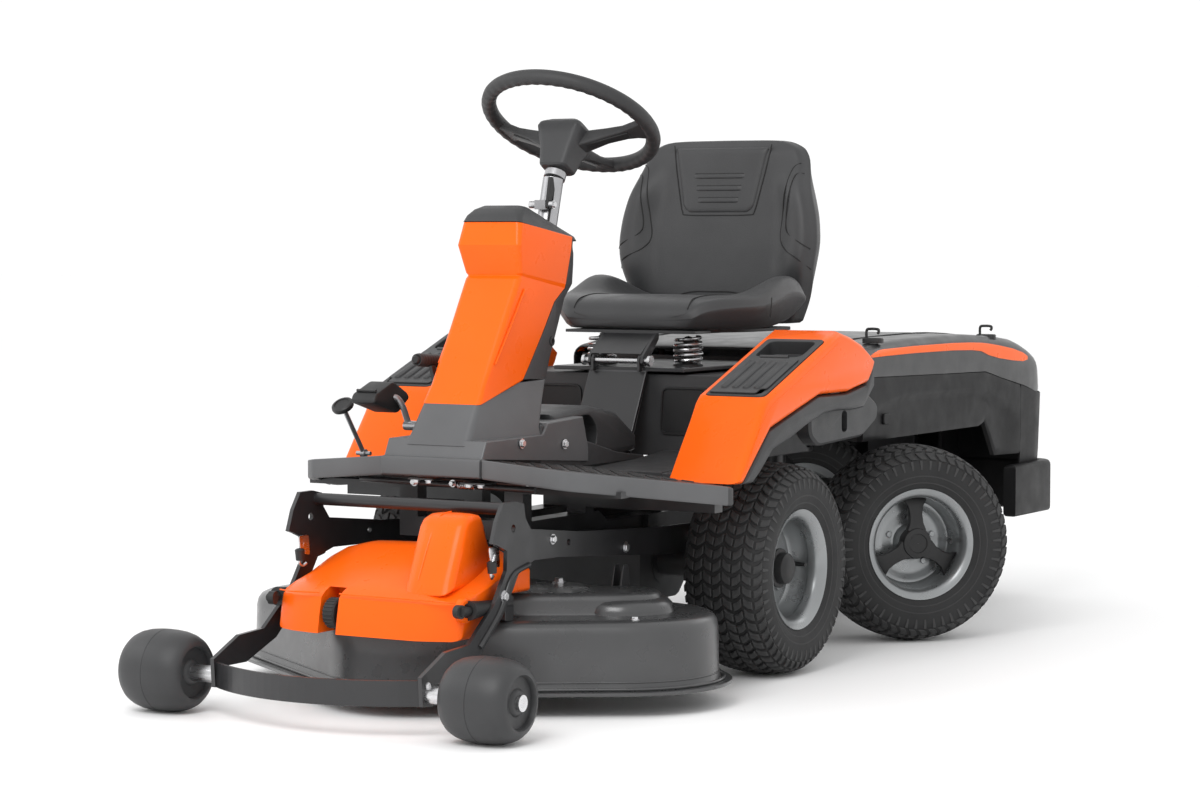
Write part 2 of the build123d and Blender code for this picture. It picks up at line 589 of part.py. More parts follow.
with BuildPart() as rim:
    turned([(-72, 114), (-66.3, 116), (-66.3, 101.4), (66.3, 101.4), (66.3, 116), (72, 114), (70, 97),
            (10, 97), (6, 88), (6, 40), (26, 34), (26, SHAFT_R), (-100, SHAFT_R), (-100, 26),
            (-6, 30), (0, 40), (0, 92), (-6, 97), (-70, 97)])

with BuildPart() as wheel_shaft:
    rod((-230, 0, 0), (34, 0, 0), SHAFT_R)
    rod((26, 0, 0), (30, 0, 0), 22)
    rod((-116, 0, 0), (-112, 0, 0), 26)
    rod((-104, 0, 0), (-100, 0, 0), 22)

with BuildPart() as hubcap_front:
    turned([(26, 30), (26, 24), (30.4, 24), (30.4, 0), (52, 0), (54, 18), (44, 30)])
    rod((20, 0, 0), (38, 0, 0), 23, mode=Mode.SUBTRACT)

with BuildPart() as hubcap_rear:
    turned([(26, 30), (26, 24), (38, 24), (38, 0), (56, 0), (58, 20), (50, 30)])
    with BuildSketch(Plane.YZ.offset(34)) as spokes:
        with PolarLocations(0, 3, start_angle=-30):
            with Locations((56, 0)):
                Rectangle(62, 22)
    extrude(spokes.sketch, amount=12)
    with BuildSketch(Plane.YZ.offset(30)) as rim_ring:
        Circle(94)
        Circle(84, mode=Mode.SUBTRACT)
    extrude(rim_ring.sketch, amount=10)
    rod((20, 0, 0), (38, 0, 0), 24, mode=Mode.SUBTRACT)

WHEELS = {
    "front_left": (Location((TRACK_HALF, 0, AXLE_Z)), None, hubcap_front),
    "front_right": (Location((-TRACK_HALF, 0, AXLE_Z), (0, 0, 180)), None, hubcap_front),
    "rear_left": (Location((TRACK_HALF, AXLE_Y, AXLE_Z)), STEER, hubcap_rear),
    "rear_right": (Location((-TRACK_HALF, AXLE_Y, AXLE_Z), (0, 0, 180)), STEER, hubcap_rear),
}
for corner, (spot, turn, cap) in WHEELS.items():
    write(tyre.part.moved(spot), "tyre_" + corner, turn)
    with BuildPart() as wheel:
        add(rim.part)
        add(wheel_shaft.part)
        add(cap.part)
    write(wheel.part.moved(spot), "rim_" + corner, turn)

# ================= lift frame with the front rollers =================
SIDE_PLATE = [(-40, 286), (-174, 289), (-465, 306), (-632, 324), (-650, 345), (-655, 371), (-682, 377),
              (-721, 377), (-743, 346), (-757, 309), (-740, 304), (-710, 292), (-712, 257), (-750, 204),
              (-832, 142), (-904, 138), (-978, 104), (-974, 54), (-944, 52), (-944, 88), (-884, 88),
              (-796, 122), (-726, 180), (-702, 208), (-668, 256), (-620, 268), (-538, 266),
              (-108, 232), (-40, 238)]
with BuildPart() as lift_frame:
    side_prism(SIDE_PLATE, SIDE_X, SIDE_X + 8)
    rod((SIDE_X, LIFT_Y, LIFT_Z), (SIDE_X + 8, LIFT_Y, LIFT_Z), 24)
    rod((SIDE_X, LIFT_Y, LIFT_Z), (SIDE_X + 8, LIFT_Y, LIFT_Z), 10 + RUN_GAP, mode=Mode.SUBTRACT)
    rod((SIDE_X, -690, 330), (SIDE_X + 8, -690, 330), 7, mode=Mode.SUBTRACT)
    rod((SIDE_X, -504, 290), (SIDE_X + 8, -504, 290), 6, mode=Mode.SUBTRACT)
    mirror(about=Plane.YZ)
    rod((-SIDE_X, CROSS_Y, CROSS_Z), (SIDE_X, CROSS_Y, CROSS_Z), 11)
    with BuildSketch(Plane.XY.offset(54)) as rail_plan:
        with BuildLine():
            ThreePointArc((-222, -966), (0, -1040), (222, -966))
            Line((222, -966), (222, -958))
            ThreePointArc((222, -958), (0, -1033), (-222, -958))
            Line((-222, -958), (-222, -966))
        make_face()
    extrude(rail_plan.sketch, amount=44)
write(lift_frame.part, "lift_frame")

with BuildPart() as roller_bolts:
    rod((222, ROLLER_Y, ROLLER_R), (275.6, ROLLER_Y, ROLLER_R), 15)
    rod((222, ROLLER_Y, ROLLER_R), (400.4, ROLLER_Y, ROLLER_R), 8)
    rod((400.4, ROLLER_Y, ROLLER_R), (407, ROLLER_Y, ROLLER_R), 14)
    mirror(about=Plane.YZ)
write(roller_bolts.part, "roller_bolts")

for side_name, side in (("left", 1), ("right", -1)):
    with BuildPart() as roller:
        turned([(-67, 62), (-58, 71), (-40, 73), (40, 73), (58, 71), (67, 62), (67, 50), (56, 50),
                (56, 22), (62, 20), (62, 8.05), (-62, 8.05), (-62, 20), (-56, 22), (-56, 50), (-67, 50)])
    write(roller.part.moved(Location((side * ROLLER_X, ROLLER_Y, ROLLER_R))), "roller_" + side_name)

# ================= cutting deck =================
def deck_outline(grow):
    with BuildSketch(Plane.XY) as plan:
        for cx, cy in SPINDLES:
            with Locations((cx, cy)):
                Circle(LOBE_R)
        Polygon((-399, -594), (-94, -794), (94, -794), (399, -594), (305, -450), (305, -300),
                (-305, -300), (-305, -450))
        if grow:
            offset(amount=grow, mode=Mode.REPLACE)
    return plan.sketch


def belt_outline(radius, grow):
    with BuildSketch(Plane.XY) as plan:
        with BuildLine():
            pts = [Vector(cx, cy) for cx, cy in SPINDLES]
            Polyline(*[(p.X, p.Y) for p in pts], close=True)
        make_face()
        offset(amount=radius + grow, mode=Mode.REPLACE)
    return plan.sketch


with BuildPart() as deck_shell:
    extrude(deck_outline(0).moved(Location((0, 0, 38))), amount=DECK_TOP - 38)
    extrude(deck_outline(25).moved(Location((0, 0, DECK_RIM))), amount=5)
    extrude(deck_outline(-4).moved(Location((0, 0, 30))), amount=DECK_TOP - 34, mode=Mode.SUBTRACT)
    extrude(belt_outline(70, 0).moved(Location((0, 0, DECK_TOP))), amount=38)
    extrude(belt_outline(66, 0).moved(Location((0, 0, DECK_TOP))), amount=34, mode=Mode.SUBTRACT)
    for cx, cy in SPINDLES:
        rod((cx, cy, 150), (cx, cy, 170), 24, mode=Mode.SUBTRACT)
    block(-88, -48, -834, -778, 138, 172, mode=Mode.SUBTRACT)
    block(-399, -300, -380, -240, 46, 130, mode=Mode.SUBTRACT)
    for side in (-1, 1):
        rod((side * 204, -828, 197), (side * 204, -676, 195), 8)
        block(min(side * 198, side * 211), max(side * 198, side * 211), -698, -674, 166, 211)
        block(min(side * 130, side * 198), max(side * 130, side * 198), -698, -674, 166, 176)
write(deck_shell.part, "deck_shell")

with BuildPart() as spindle_housings:
    for cx, cy in SPINDLES:
        rod((cx, cy, 112), (cx, cy, 168), 23.6)
        rod((cx, cy, 152), (cx, cy, 162), 48)
        rod((cx, cy, 100), (cx, cy, 180), 10 + RUN_GAP, mode=Mode.SUBTRACT)
write(spindle_housings.part, "spindle_housings")

with BuildPart() as deck_belt:
    extrude(belt_outline(55, 8.4).moved(Location((0, 0, 176))), amount=9)
    extrude(belt_outline(55, 0.4).moved(Location((0, 0, 176))), amount=9, mode=Mode.SUBTRACT)
write(deck_belt.part, "deck_belt")

COVER = [(-846, 143), (-832, 208), (-785, 232), (-663, 288), (-585, 284), (-585, 212), (-700, 212),
         (-745, 152)]
COVER_IN = [(-842.6, 130), (-828.6, 206), (-783, 228.5), (-663, 284.4), (-588.5, 280.6), (-588.5, 205),
            (-570, 130)]
with BuildPart() as deck_cover:
    side_prism(COVER, -195, 195)
    side_prism([(-812, 226), (-748, 354), (-696, 354), (-686, 330), (-673, 300), (-673, 250), (-760, 226)],
               72, 165)
    side_prism(COVER_IN, -191.5, 191.5, mode=Mode.SUBTRACT)
    side_prism([(-806, 220), (-745, 350.5), (-698, 350.5), (-689.5, 329), (-676.5, 299), (-676.5, 250),
                (-760, 220)], 75.5, 161.5, mode=Mode.SUBTRACT)
    block(-86, -50, -850, -770, 130, 214, mode=Mode.SUBTRACT)
    side_prism([(-839, 170), (-808, 168), (-806, 186), (-836, 190)], -94, -86)
    side_prism([(-839, 170), (-808, 168), (-806, 186), (-836, 190)], -50, -42)
    rod((-96, -817, 177), (-40, -817, 177), 4 + RUN_GAP, mode=Mode.SUBTRACT)
write(deck_cover.part, "deck_cover")

with BuildPart() as height_knob:
    turned([(-12, 24), (-9, 27), (9, 27), (12, 24), (12, 8), (14, 8), (14, 0), (-14, 0), (-14, 8), (-12, 8)])
    rod((-25, 0, 0), (25, 0, 0), 4)
    with BuildSketch(Plane.YZ.offset(-10)) as grooves:
        with PolarLocations(27.5, 20):
            Circle(1.6)
    extrude(grooves.sketch, amount=20, mode=Mode.SUBTRACT)
write(height_knob.part.moved(Location((-68, -817, 177))), "height_knob")

for blade_name, (cx, cy) in (("left", SPINDLES[0]), ("centre", SPINDLES[1]), ("right", SPINDLES[2])):
    with BuildPart() as blade:
        with BuildSketch(Plane.XY.offset(62)) as bar:
            Polygon((-BLADE_HALF, -24), (-110, -24), (-100, -20), (100, -24), (BLADE_HALF - 10, -24),
                    (BLADE_HALF, -10), (BLADE_HALF, 24), (110, 24), (100, 20), (-100, 24),
                    (-BLADE_HALF + 10, 24), (-BLADE_HALF, 10))
        extrude(bar.sketch, amount=5)
        block(-160, -110, 14, 24, 66, 84)
        block(110, 160, -24, -14, 66, 84)
        rod((0, 0, 50), (0, 0, 62), 13)
        rod((0, 0, 67), (0, 0, 190), 10)
        rod((0, 0, 67), (0, 0, 110), 20)
        rod((0, 0, 172), (0, 0, 190), 50)
        rod((0, 0, 172), (0, 0, 176), 55)
        rod((0, 0, 185), (0, 0, 189), 55)
        rod((0, 0, 176), (0, 0, 185), 54.8)
    write(blade.part.moved(Location((cx, cy, 0))), "blade_" + blade_name)

# ================= pedals and lift lever =================
with BuildPart() as drive_pedal:
    side_prism([(-566, 530), (-482, 508), (-446, 536), (-452, 545), (-500, 571), (-560, 540)], -215, -160)
    side_prism([(-480, 480), (-460, 480), (-458, 492), (-478, 540), (-500, 540)], -160, -152)
    rod((-152, -470, 486), (-106, -470, 486), 9)
    rod((-106, -470, 486), (-90, -470, 486), 5)
write(drive_pedal.part, "drive_pedal")

with BuildPart() as brake_pedal:
    rod((-305.6, -400, 424), (-294.4, -400, 424), 8)
    rod((-316, -400, 424), (-284, -400, 424), 4)
    rod((-300, -401, 425.5), (-300, -468, 516), 4.5)
    rod((-300, -466, 514), (-300, -473, 524), 22)
write(brake_pedal.part, "brake_pedal")

with BuildPart() as lift_lever:
    side_prism([(-460, 510), (-440, 510), (-440, 530), (-474, 596), (-488, 596), (-462, 530)], -92, -84)
    rod((-84, -450, 520), (-81, -450, 520), 11)
    rod((-92, -450, 520), (-80, -450, 520), 5 + RUN_GAP, mode=Mode.SUBTRACT)
    rod((-96, -520, 612), (-96, -434, 606), 12.5)
    rod((-96, -522, 612.15), (-96, -504, 611), 8.6, mode=Mode.SUBTRACT)
    side_prism([(-474, 590), (-488, 590), (-492, 604), (-470, 604)], -92, -84)
write(lift_lever.part, "lift_lever")

with BuildPart() as lift_lever_button:
    rod((-96, -526, 612.4), (-96, -512, 611.45), 7.9)
write(lift_lever_button.part, "lift_lever_button")
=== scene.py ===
import json
import math
import bpy
import bmesh
from mathutils import Vector, Matrix


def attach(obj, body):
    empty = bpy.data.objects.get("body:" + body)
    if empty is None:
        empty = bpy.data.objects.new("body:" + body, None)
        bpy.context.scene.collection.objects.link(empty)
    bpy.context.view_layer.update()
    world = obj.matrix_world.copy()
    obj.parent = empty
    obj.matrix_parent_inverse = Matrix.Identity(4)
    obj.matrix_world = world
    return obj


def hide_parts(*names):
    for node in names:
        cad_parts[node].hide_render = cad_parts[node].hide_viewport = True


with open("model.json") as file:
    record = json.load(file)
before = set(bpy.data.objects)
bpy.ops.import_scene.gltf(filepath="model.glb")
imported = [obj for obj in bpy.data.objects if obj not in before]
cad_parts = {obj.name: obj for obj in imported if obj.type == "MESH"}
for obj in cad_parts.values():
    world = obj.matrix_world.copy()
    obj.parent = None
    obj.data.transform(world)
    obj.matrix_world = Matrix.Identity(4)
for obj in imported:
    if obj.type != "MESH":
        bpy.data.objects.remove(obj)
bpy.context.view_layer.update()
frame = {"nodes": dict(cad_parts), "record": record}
nodes = frame["nodes"]

# Geometry is laid out in millimetres from the front axle, then moved to the row frame.
OX, OY = 36.0, 206.0
PIVOT_Y = 703.5
STEER = math.radians(-43.45)


def M(p):
    return Vector(((p[0] - OX) / 1000.0, (p[1] - OY) / 1000.0, p[2] / 1000.0))


def mirrored(verts, faces):
    n = len(verts)
    return (list(verts) + [(-v[0], v[1], v[2]) for v in verts],
            list(faces) + [tuple(reversed([i + n for i in f])) for f in faces])


# ---------------------------------------------------------------- materials
def material(name, base, rough, metallic=0.0, var=0.12, grain=900.0, bump=0.12, depth=0.0003,
             coat=0.0, wear=0.25, rough_var=0.12, spec=0.5, sheen=0.0, cells=False, streak=None):
    m = bpy.data.materials.new(name)
    m.use_nodes = True
    nt = m.node_tree
    nt.nodes.clear()
    out = nt.nodes.new("ShaderNodeOutputMaterial")
    bsdf = nt.nodes.new("ShaderNodeBsdfPrincipled")
    nt.links.new(bsdf.outputs["BSDF"], out.inputs["Surface"])
    bsdf.inputs["Metallic"].default_value = metallic
    bsdf.inputs["Specular IOR Level"].default_value = spec
    if coat:
        bsdf.inputs["Coat Weight"].default_value = coat
        bsdf.inputs["Coat Roughness"].default_value = 0.18
    if sheen:
        bsdf.inputs["Sheen Weight"].default_value = sheen
        bsdf.inputs["Sheen Roughness"].default_value = 0.5
    tc = nt.nodes.new("ShaderNodeTexCoord")
    mapping = nt.nodes.new("ShaderNodeMapping")
    nt.links.new(tc.outputs["Object"], mapping.inputs["Vector"])
    if streak:
        mapping.inputs["Scale"].default_value = streak
    broad = nt.nodes.new("ShaderNodeTexNoise")
    broad.inputs["Scale"].default_value = 7.0
    broad.inputs["Detail"].default_value = 6.0
    nt.links.new(tc.outputs["Object"], broad.inputs["Vector"])
    tone = nt.nodes.new("ShaderNodeValToRGB")
    lo = tuple(c * (1 - var) for c in base)
    hi = tuple(min(1.0, c * (1 + var)) for c in base)
    tone.color_ramp.elements[0].position = 0.32
    tone.color_ramp.elements[0].color = (*lo, 1)
    tone.color_ramp.elements[1].position = 0.68
    tone.color_ramp.elements[1].color = (*hi, 1)
    nt.links.new(broad.outputs["Fac"], tone.inputs["Fac"])
    color = tone.outputs["Color"]
    if wear:
        geo = nt.nodes.new("ShaderNodeNewGeometry")
        edge = nt.nodes.new("ShaderNodeValToRGB")
        edge.color_ramp.elements[0].position = 0.53
        edge.color_ramp.elements[1].position = 0.62
        nt.links.new(geo.outputs["Pointiness"], edge.inputs["Fac"])
        amount = nt.nodes.new("ShaderNodeMath")
        amount.operation = "MULTIPLY"
        amount.inputs[1].default_value = wear
        nt.links.new(edge.outputs["Color"], amount.inputs[0])
        mix = nt.nodes.new("ShaderNodeMix")
        mix.data_type = "RGBA"
        nt.links.new(amount.outputs[0], mix.inputs["Factor"])
        nt.links.new(color, mix.inputs[6])
        mix.inputs[7].default_value = (*[min(1.0, c * 1.5 + 0.06) for c in base], 1)
        color = mix.outputs[2]
    nt.links.new(color, bsdf.inputs["Base Color"])
    if cells:
        fine = nt.nodes.new("ShaderNodeTexVoronoi")
        fine.inputs["Scale"].default_value = grain
        height = fine.outputs["Distance"]
    else:
        fine = nt.nodes.new("ShaderNodeTexNoise")
        fine.inputs["Scale"].default_value = grain
        fine.inputs["Detail"].default_value = 3.0
        height = fine.outputs["Fac"]
    nt.links.new(mapping.outputs["Vector"], fine.inputs["Vector"])
    patch = nt.nodes.new("ShaderNodeTexNoise")
    patch.inputs["Scale"].default_value = 24.0
    patch.inputs["Detail"].default_value = 8.0
    nt.links.new(mapping.outputs["Vector"], patch.inputs["Vector"])
    rr = nt.nodes.new("ShaderNodeMapRange")
    rr.inputs["From Min"].default_value = 0.3
    rr.inputs["From Max"].default_value = 0.7
    rr.inputs["To Min"].default_value = max(0.03, rough - rough_var * 0.5)
    rr.inputs["To Max"].default_value = min(1.0, rough + rough_var * 0.5)
    nt.links.new(patch.outputs["Fac"], rr.inputs["Value"])
    nt.links.new(rr.outputs["Result"], bsdf.inputs["Roughness"])
    bmp = nt.nodes.new("ShaderNodeBump")
    bmp.inputs["Strength"].default_value = bump
    bmp.inputs["Distance"].default_value = depth
    nt.links.new(height, bmp.inputs["Height"])
    nt.links.new(bmp.outputs["Normal"], bsdf.inputs["Normal"])
    return m


MAT = {
    "orange_plastic": material("orange_plastic", (0.93, 0.122, 0.004), 0.3, var=0.03, grain=1500, bump=0.05,
                               coat=0.08, wear=0.03, rough_var=0.08, spec=0.16),
    "dark_plastic": material("dark_plastic", (0.036, 0.0365, 0.038), 0.46, grain=1300, bump=0.3, cells=True,
                             wear=0.12, spec=0.4),
    "black_plastic": material("black_plastic", (0.013, 0.013, 0.0135), 0.48, grain=1100, bump=0.3, cells=True, wear=0.12,
                              spec=0.4),
    "grip_plastic": material("grip_plastic", (0.03, 0.03, 0.031), 0.52, grain=1500, bump=0.4, cells=True, wear=0.12, spec=0.4),
    "hood_plastic": material("hood_plastic", (0.019, 0.0195, 0.0205), 0.36, grain=1500, bump=0.1, coat=0.08,
                             wear=0.08, spec=0.4),
    "frame_steel": material("frame_steel", (0.017, 0.017, 0.0185), 0.36, grain=700, bump=0.16, coat=0.2,
                            wear=0.3, metallic=0.1),
    "deck_steel": material("deck_steel", (0.05, 0.0505, 0.052), 0.3, grain=600, bump=0.12, coat=0.25,
                           wear=0.3, metallic=0.15),
    "cast_housing": material("cast_housing", (0.11, 0.112, 0.115), 0.55, grain=500, bump=0.5, depth=0.0005,
                             metallic=0.6),
    "zinc_steel": material("zinc_steel", (0.6, 0.6, 0.61), 0.28, grain=300, bump=0.1, metallic=1.0,
                           streak=(1, 1, 8)),
    "silver_paint": material("silver_paint", (0.27, 0.28, 0.285), 0.3, grain=1900, bump=0.08, metallic=0.75,
                             coat=0.2, wear=0.2),
    "column_metal": material("column_metal", (0.36, 0.36, 0.37), 0.3, grain=800, bump=0.08, metallic=0.8),
    "tyre_rubber": material("tyre_rubber", (0.019, 0.019, 0.0195), 0.7, grain=600, bump=0.45, depth=0.0005,
                            var=0.25, wear=0.35, spec=0.35),
    "belt_rubber": material("belt_rubber", (0.015, 0.015, 0.015), 0.75, grain=900, bump=0.4),
    "seat_vinyl": material("seat_vinyl", (0.035, 0.0355, 0.037), 0.44, grain=750, bump=0.5, depth=0.0004,
                           cells=True, wear=0.1, sheen=0.04, spec=0.4),
    "blade_steel": material("blade_steel", (0.07, 0.07, 0.07), 0.4, grain=500, bump=0.2, metallic=0.8),
    "engine_metal": material("engine_metal", (0.4, 0.4, 0.41), 0.45, grain=450, bump=0.4, metallic=0.9),
    "tank_plastic": material("tank_plastic", (0.25, 0.25, 0.24), 0.5, grain=700, bump=0.2),
    "exhaust_steel": material("exhaust_steel", (0.12, 0.11, 0.1), 0.55, grain=350, bump=0.4, metallic=0.8,
                              var=0.35),
    "lip_plastic": material("lip_plastic", (0.085, 0.086, 0.089), 0.42, grain=1300, bump=0.25, cells=True,
                            wear=0.12, spec=0.4),
    "panel_plastic": material("panel_plastic", (0.0085, 0.0085, 0.009), 0.46, grain=1500, bump=0.1, wear=0.03,
                              spec=0.16),
    # dark matte used for seams, crease lines and the tube slot, and as painted shadow round the seat-back slot bars
    "seam_and_painted_shadow": material("seam_and_painted_shadow", (0.012, 0.012, 0.012), 0.8, grain=900, bump=0.2, wear=0.0),
}


# ---------------------------------------------------------------- mesh helpers
def finish_object(o, mat, body, reps=(), bevel=0.0, seg=3, subsurf=0, weld=False):
    o.data.materials.clear()
    o.data.materials.append(MAT[mat])
    if bevel:
        b = o.modifiers.new("edge", "BEVEL")
        b.width = bevel / 1000.0
        b.segments = seg
        b.limit_method = "ANGLE"
        b.angle_limit = math.radians(32)
        b.harden_normals = True
    if subsurf:
        s = o.modifiers.new("smooth", "SUBSURF")
        s.levels = subsurf
        s.render_levels = subsurf
    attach(o, body)
    if reps:
        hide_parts(*reps)
    return o


def raw(name, verts, faces, local=False, sharp=None):
    me = bpy.data.meshes.new(name)
    me.from_pydata([v if local else M(v) for v in verts], [], faces)
    bm = bmesh.new()
    bm.from_mesh(me)
    bmesh.ops.remove_doubles(bm, verts=bm.verts, dist=1e-6)
    bmesh.ops.recalc_face_normals(bm, faces=bm.faces)
    for f in bm.faces:
        f.smooth = True
    if sharp:
        for e in bm.edges:
            if len(e.link_faces) == 2 and e.calc_face_angle(0) > math.radians(sharp):
                e.smooth = False
    bm.to_mesh(me)
    bm.free()
    o = bpy.data.objects.new(name, me)
    bpy.context.scene.collection.objects.link(o)
    return o


def make(name, verts, faces, mat, body, reps=(), bevel=0.0, seg=3, subsurf=0, both=False,
         sharp=None, cutters=()):
    if both:
        verts, faces = mirrored(verts, faces)
    o = raw(name, verts, faces, sharp=(sharp or (35 if not bevel and not subsurf else None)))
    for c in cutters:
        carve(o, c)
    return finish_object(o, mat, body, reps, bevel, seg, subsurf)


def carve(o, cutter):
    b = o.modifiers.new("cut", "BOOLEAN")
    b.operation = "DIFFERENCE"
    b.solver = "EXACT"
    b.object = cutter
    bpy.context.view_layer.update()
    dg = bpy.context.evaluated_depsgraph_get()
    me = bpy.data.meshes.new_from_object(o.evaluated_get(dg))
    o.modifiers.remove(b)
    o.data = me
    for p in me.polygons:
        p.use_smooth = True
    bpy.data.objects.remove(cutter)


def loft(rings, cap0=True, cap1=True, closed=True):
    n = len(rings[0])
    verts = [p for r in rings for p in r]
    faces = []
    for k in range(len(rings) - 1):
        for i in range(n if closed else n - 1):
            j = (i + 1) % n
            faces.append((k * n + i, k * n + j, (k + 1) * n + j, (k + 1) * n + i))
    if cap0:
        faces.append(tuple(reversed(range(n))))
    if cap1:
        faces.append(tuple(range((len(rings) - 1) * n, len(rings) * n)))
    return verts, faces


def prism_x(points, x0, x1):
    return loft([[(x0, y, z) for y, z in points], [(x1, y, z) for y, z in points]])


def prism_z(points, z0, z1):
    return loft([[(x, y, z0) for x, y in points], [(x, y, z1) for x, y in points]])


def box(x0, x1, y0, y1, z0, z1):
    return prism_z([(x0, y0), (x1, y0), (x1, y1), (x0, y1)], z0, z1)


def inset(points, d):
    """Moves each corner of a closed 2-D outline inwards by d along its bisector."""
    area = sum(points[i][0] * points[(i + 1) % len(points)][1] - points[(i + 1) % len(points)][0] * points[i][1]
               for i in range(len(points)))
    s = 1.0 if area > 0 else -1.0
    out = []
    n = len(points)
    for i in range(n):
        a, b, c = Vector(points[i - 1]), Vector(points[i]), Vector(points[(i + 1) % n])
        e0, e1 = (b - a).normalized(), (c - b).normalized()
        n0, n1 = Vector((-e0.y, e0.x)) * s, Vector((-e1.y, e1.x)) * s
        m = n0 + n1
        m = m / max(0.35, m.dot(n0)) if m.length > 1e-6 else n0
        out.append(tuple(b + m * d))
    return out


def rounded(points, r, n=4):
    """Rounds the corners of a closed 2-D outline."""
    out = []
    count = len(points)
    for i in range(count):
        a, b, c = Vector(points[i - 1]), Vector(points[i]), Vector(points[(i + 1) % count])
        d = min(r, (a - b).length * 0.45, (c - b).length * 0.45)
        p, q = b + (a - b).normalized() * d, b + (c - b).normalized() * d
        for k in range(n + 1):
            t = k / n
            out.append(tuple(p * (1 - t) ** 2 + b * 2 * t * (1 - t) + q * t ** 2))
    return out


def lathe(profile, segments=64, closed=False):
    """Turns (x, r) points about the local X axis, in local millimetres."""
    rings = []
    for x, r in profile:
        rings.append([(x, r * math.cos(2 * math.pi * k / segments), r * math.sin(2 * math.pi * k / segments))
                      for k in range(segments)])
    verts, faces = loft(rings, cap0=False, cap1=False)
    if closed:
        n = segments
        last = (len(rings) - 1) * n
        for i in range(n):
            j = (i + 1) % n
            faces.append((last + i, last + j, j, i))
    return verts, faces


def turned(name, profile, p, direction, mat, body, reps=(), segments=64, closed=True, sharp=32,
           bevel=0):
    """A lathe piece with its local X axis along direction, at p."""
    verts, faces = lathe(profile, segments, closed)
    d = Vector(direction).normalized()
    rot = Vector((1, 0, 0)).rotation_difference(d).to_matrix()
    placed = [tuple(rot @ Vector(v) + Vector(p)) for v in verts]
    return make(name, placed, faces, mat, body, reps, sharp=sharp, bevel=bevel)


def tube(points, r, n=12, closed=False, radii=None):
    """Mesh tube through the points, kept round by parallel transport."""
    pts = [Vector(p) for p in points]
    m = len(pts)
    rings = []
    prev = None
    for i in range(m):
        if closed:
            t = (pts[(i + 1) % m] - pts[i - 1]).normalized()
        else:
            t = (pts[min(i + 1, m - 1)] - pts[max(i - 1, 0)]).normalized()
        if prev is None:
            u = t.orthogonal().normalized()
        else:
            u = (prev - t * prev.dot(t)).normalized()
        prev = u
        v = t.cross(u)
        rad = radii[i] if radii else r
        rings.append([tuple(pts[i] + (u * math.cos(2 * math.pi * k / n) + v * math.sin(2 * math.pi * k / n)) * rad)
                      for k in range(n)])
    if closed:
        verts, faces = loft(rings, False, False)
        base = (m - 1) * n
        for k in range(n):
            j = (k + 1) % n
            faces.append((base + k, base + j, j, k))
        return verts, faces
    return loft(rings)


def curve(points, steps=8):
    """Catmull-Rom points through a list."""
    p = [Vector(q) for q in points]
    out = []
    for i in range(len(p) - 1):
        a, b, c, d = p[max(i - 1, 0)], p[i], p[i + 1], p[min(i + 2, len(p) - 1)]
        for k in range(steps):
            t = k / steps
            out.append(0.5 * ((2 * b) + (c - a) * t + (2 * a - 5 * b + 4 * c - d) * t * t
                              + (3 * b - a - 3 * c + d) * t ** 3))
    out.append(p[-1])
    return out


def join(*parts):
    verts, faces = [], []
    for v, f in parts:
        n = len(verts)
        verts += list(v)
        faces += [tuple(i + n for i in face) for face in f]
    return verts, faces


def bolt(p, direction, r=8.0, h=6.0):
    """Hex head with a washer, standing on p along direction."""
    d = Vector(direction).normalized()
    rot = Vector((0, 0, 1)).rotation_difference(d).to_matrix()
    washer = [(r * 1.35 * math.cos(k * math.pi / 12), r * 1.35 * math.sin(k * math.pi / 12)) for k in range(24)]
    hexa = [(r * math.cos(k * math.pi / 3), r * math.sin(k * math.pi / 3)) for k in range(6)]
    top = [(q[0] * 0.86, q[1] * 0.86) for q in hexa]
    v, f = join(prism_z(washer, 0, 1.6), loft([[(x, y, 1.6) for x, y in hexa], [(x, y, h - 1) for x, y in hexa],
                                               [(x, y, h) for x, y in top]]))
    return [tuple(rot @ Vector(q) + Vector(p)) for q in v], f


def lerp(table, t):
    if t <= table[0][0]:
        return table[0][1:]
    for a, b in zip(table, table[1:]):
        if t <= b[0]:
            k = (t - a[0]) / (b[0] - a[0])
            return tuple(x + (y - x) * k for x, y in zip(a[1:], b[1:]))
    return table[-1][1:]


def smooth(t):
    t = max(0.0, min(1.0, t))
    return t * t * (3 - 2 * t)


# ---------------------------------------------------------------- carried-over CAD nodes
record = frame["record"]
node_slot = {s["node"]: s["material_slot"] for s in record["subparts"]}
for node, o in nodes.items():
    o.data.materials.clear()
    o.data.materials.append(MAT["lip_plastic" if node == "column_shoe" else node_slot[node]])
    for p in o.data.polygons:
        p.use_smooth = False


def soften(node, width=1.2, seg=2):
    """Rounds the hard edges of a CAD node that stays."""
    o = nodes[node]
    w = o.modifiers.new("weld", "WELD")
    w.merge_threshold = 0.00002
    b = o.modifiers.new("edge", "BEVEL")
    b.width = width / 1000.0
    b.segments = seg
    b.limit_method = "ANGLE"
    b.angle_limit = math.radians(34)


for node, width in (("lift_frame", 1.6), ("main_frame", 1.5), ("tow_hitch", 1.2), ("column_shoe", 3.0),
                    ("tunnel_cover", 4.0), ("seat_support", 1.5), ("seat_bracket", 1.5), ("column_lever", 1.5),
                    ("engine_block", 1.0), ("front_transaxle", 3.0), ("rear_transaxle", 3.0),
                    ("bogie_frame", 2.0), ("battery", 3.0)):
    soften(node, width)


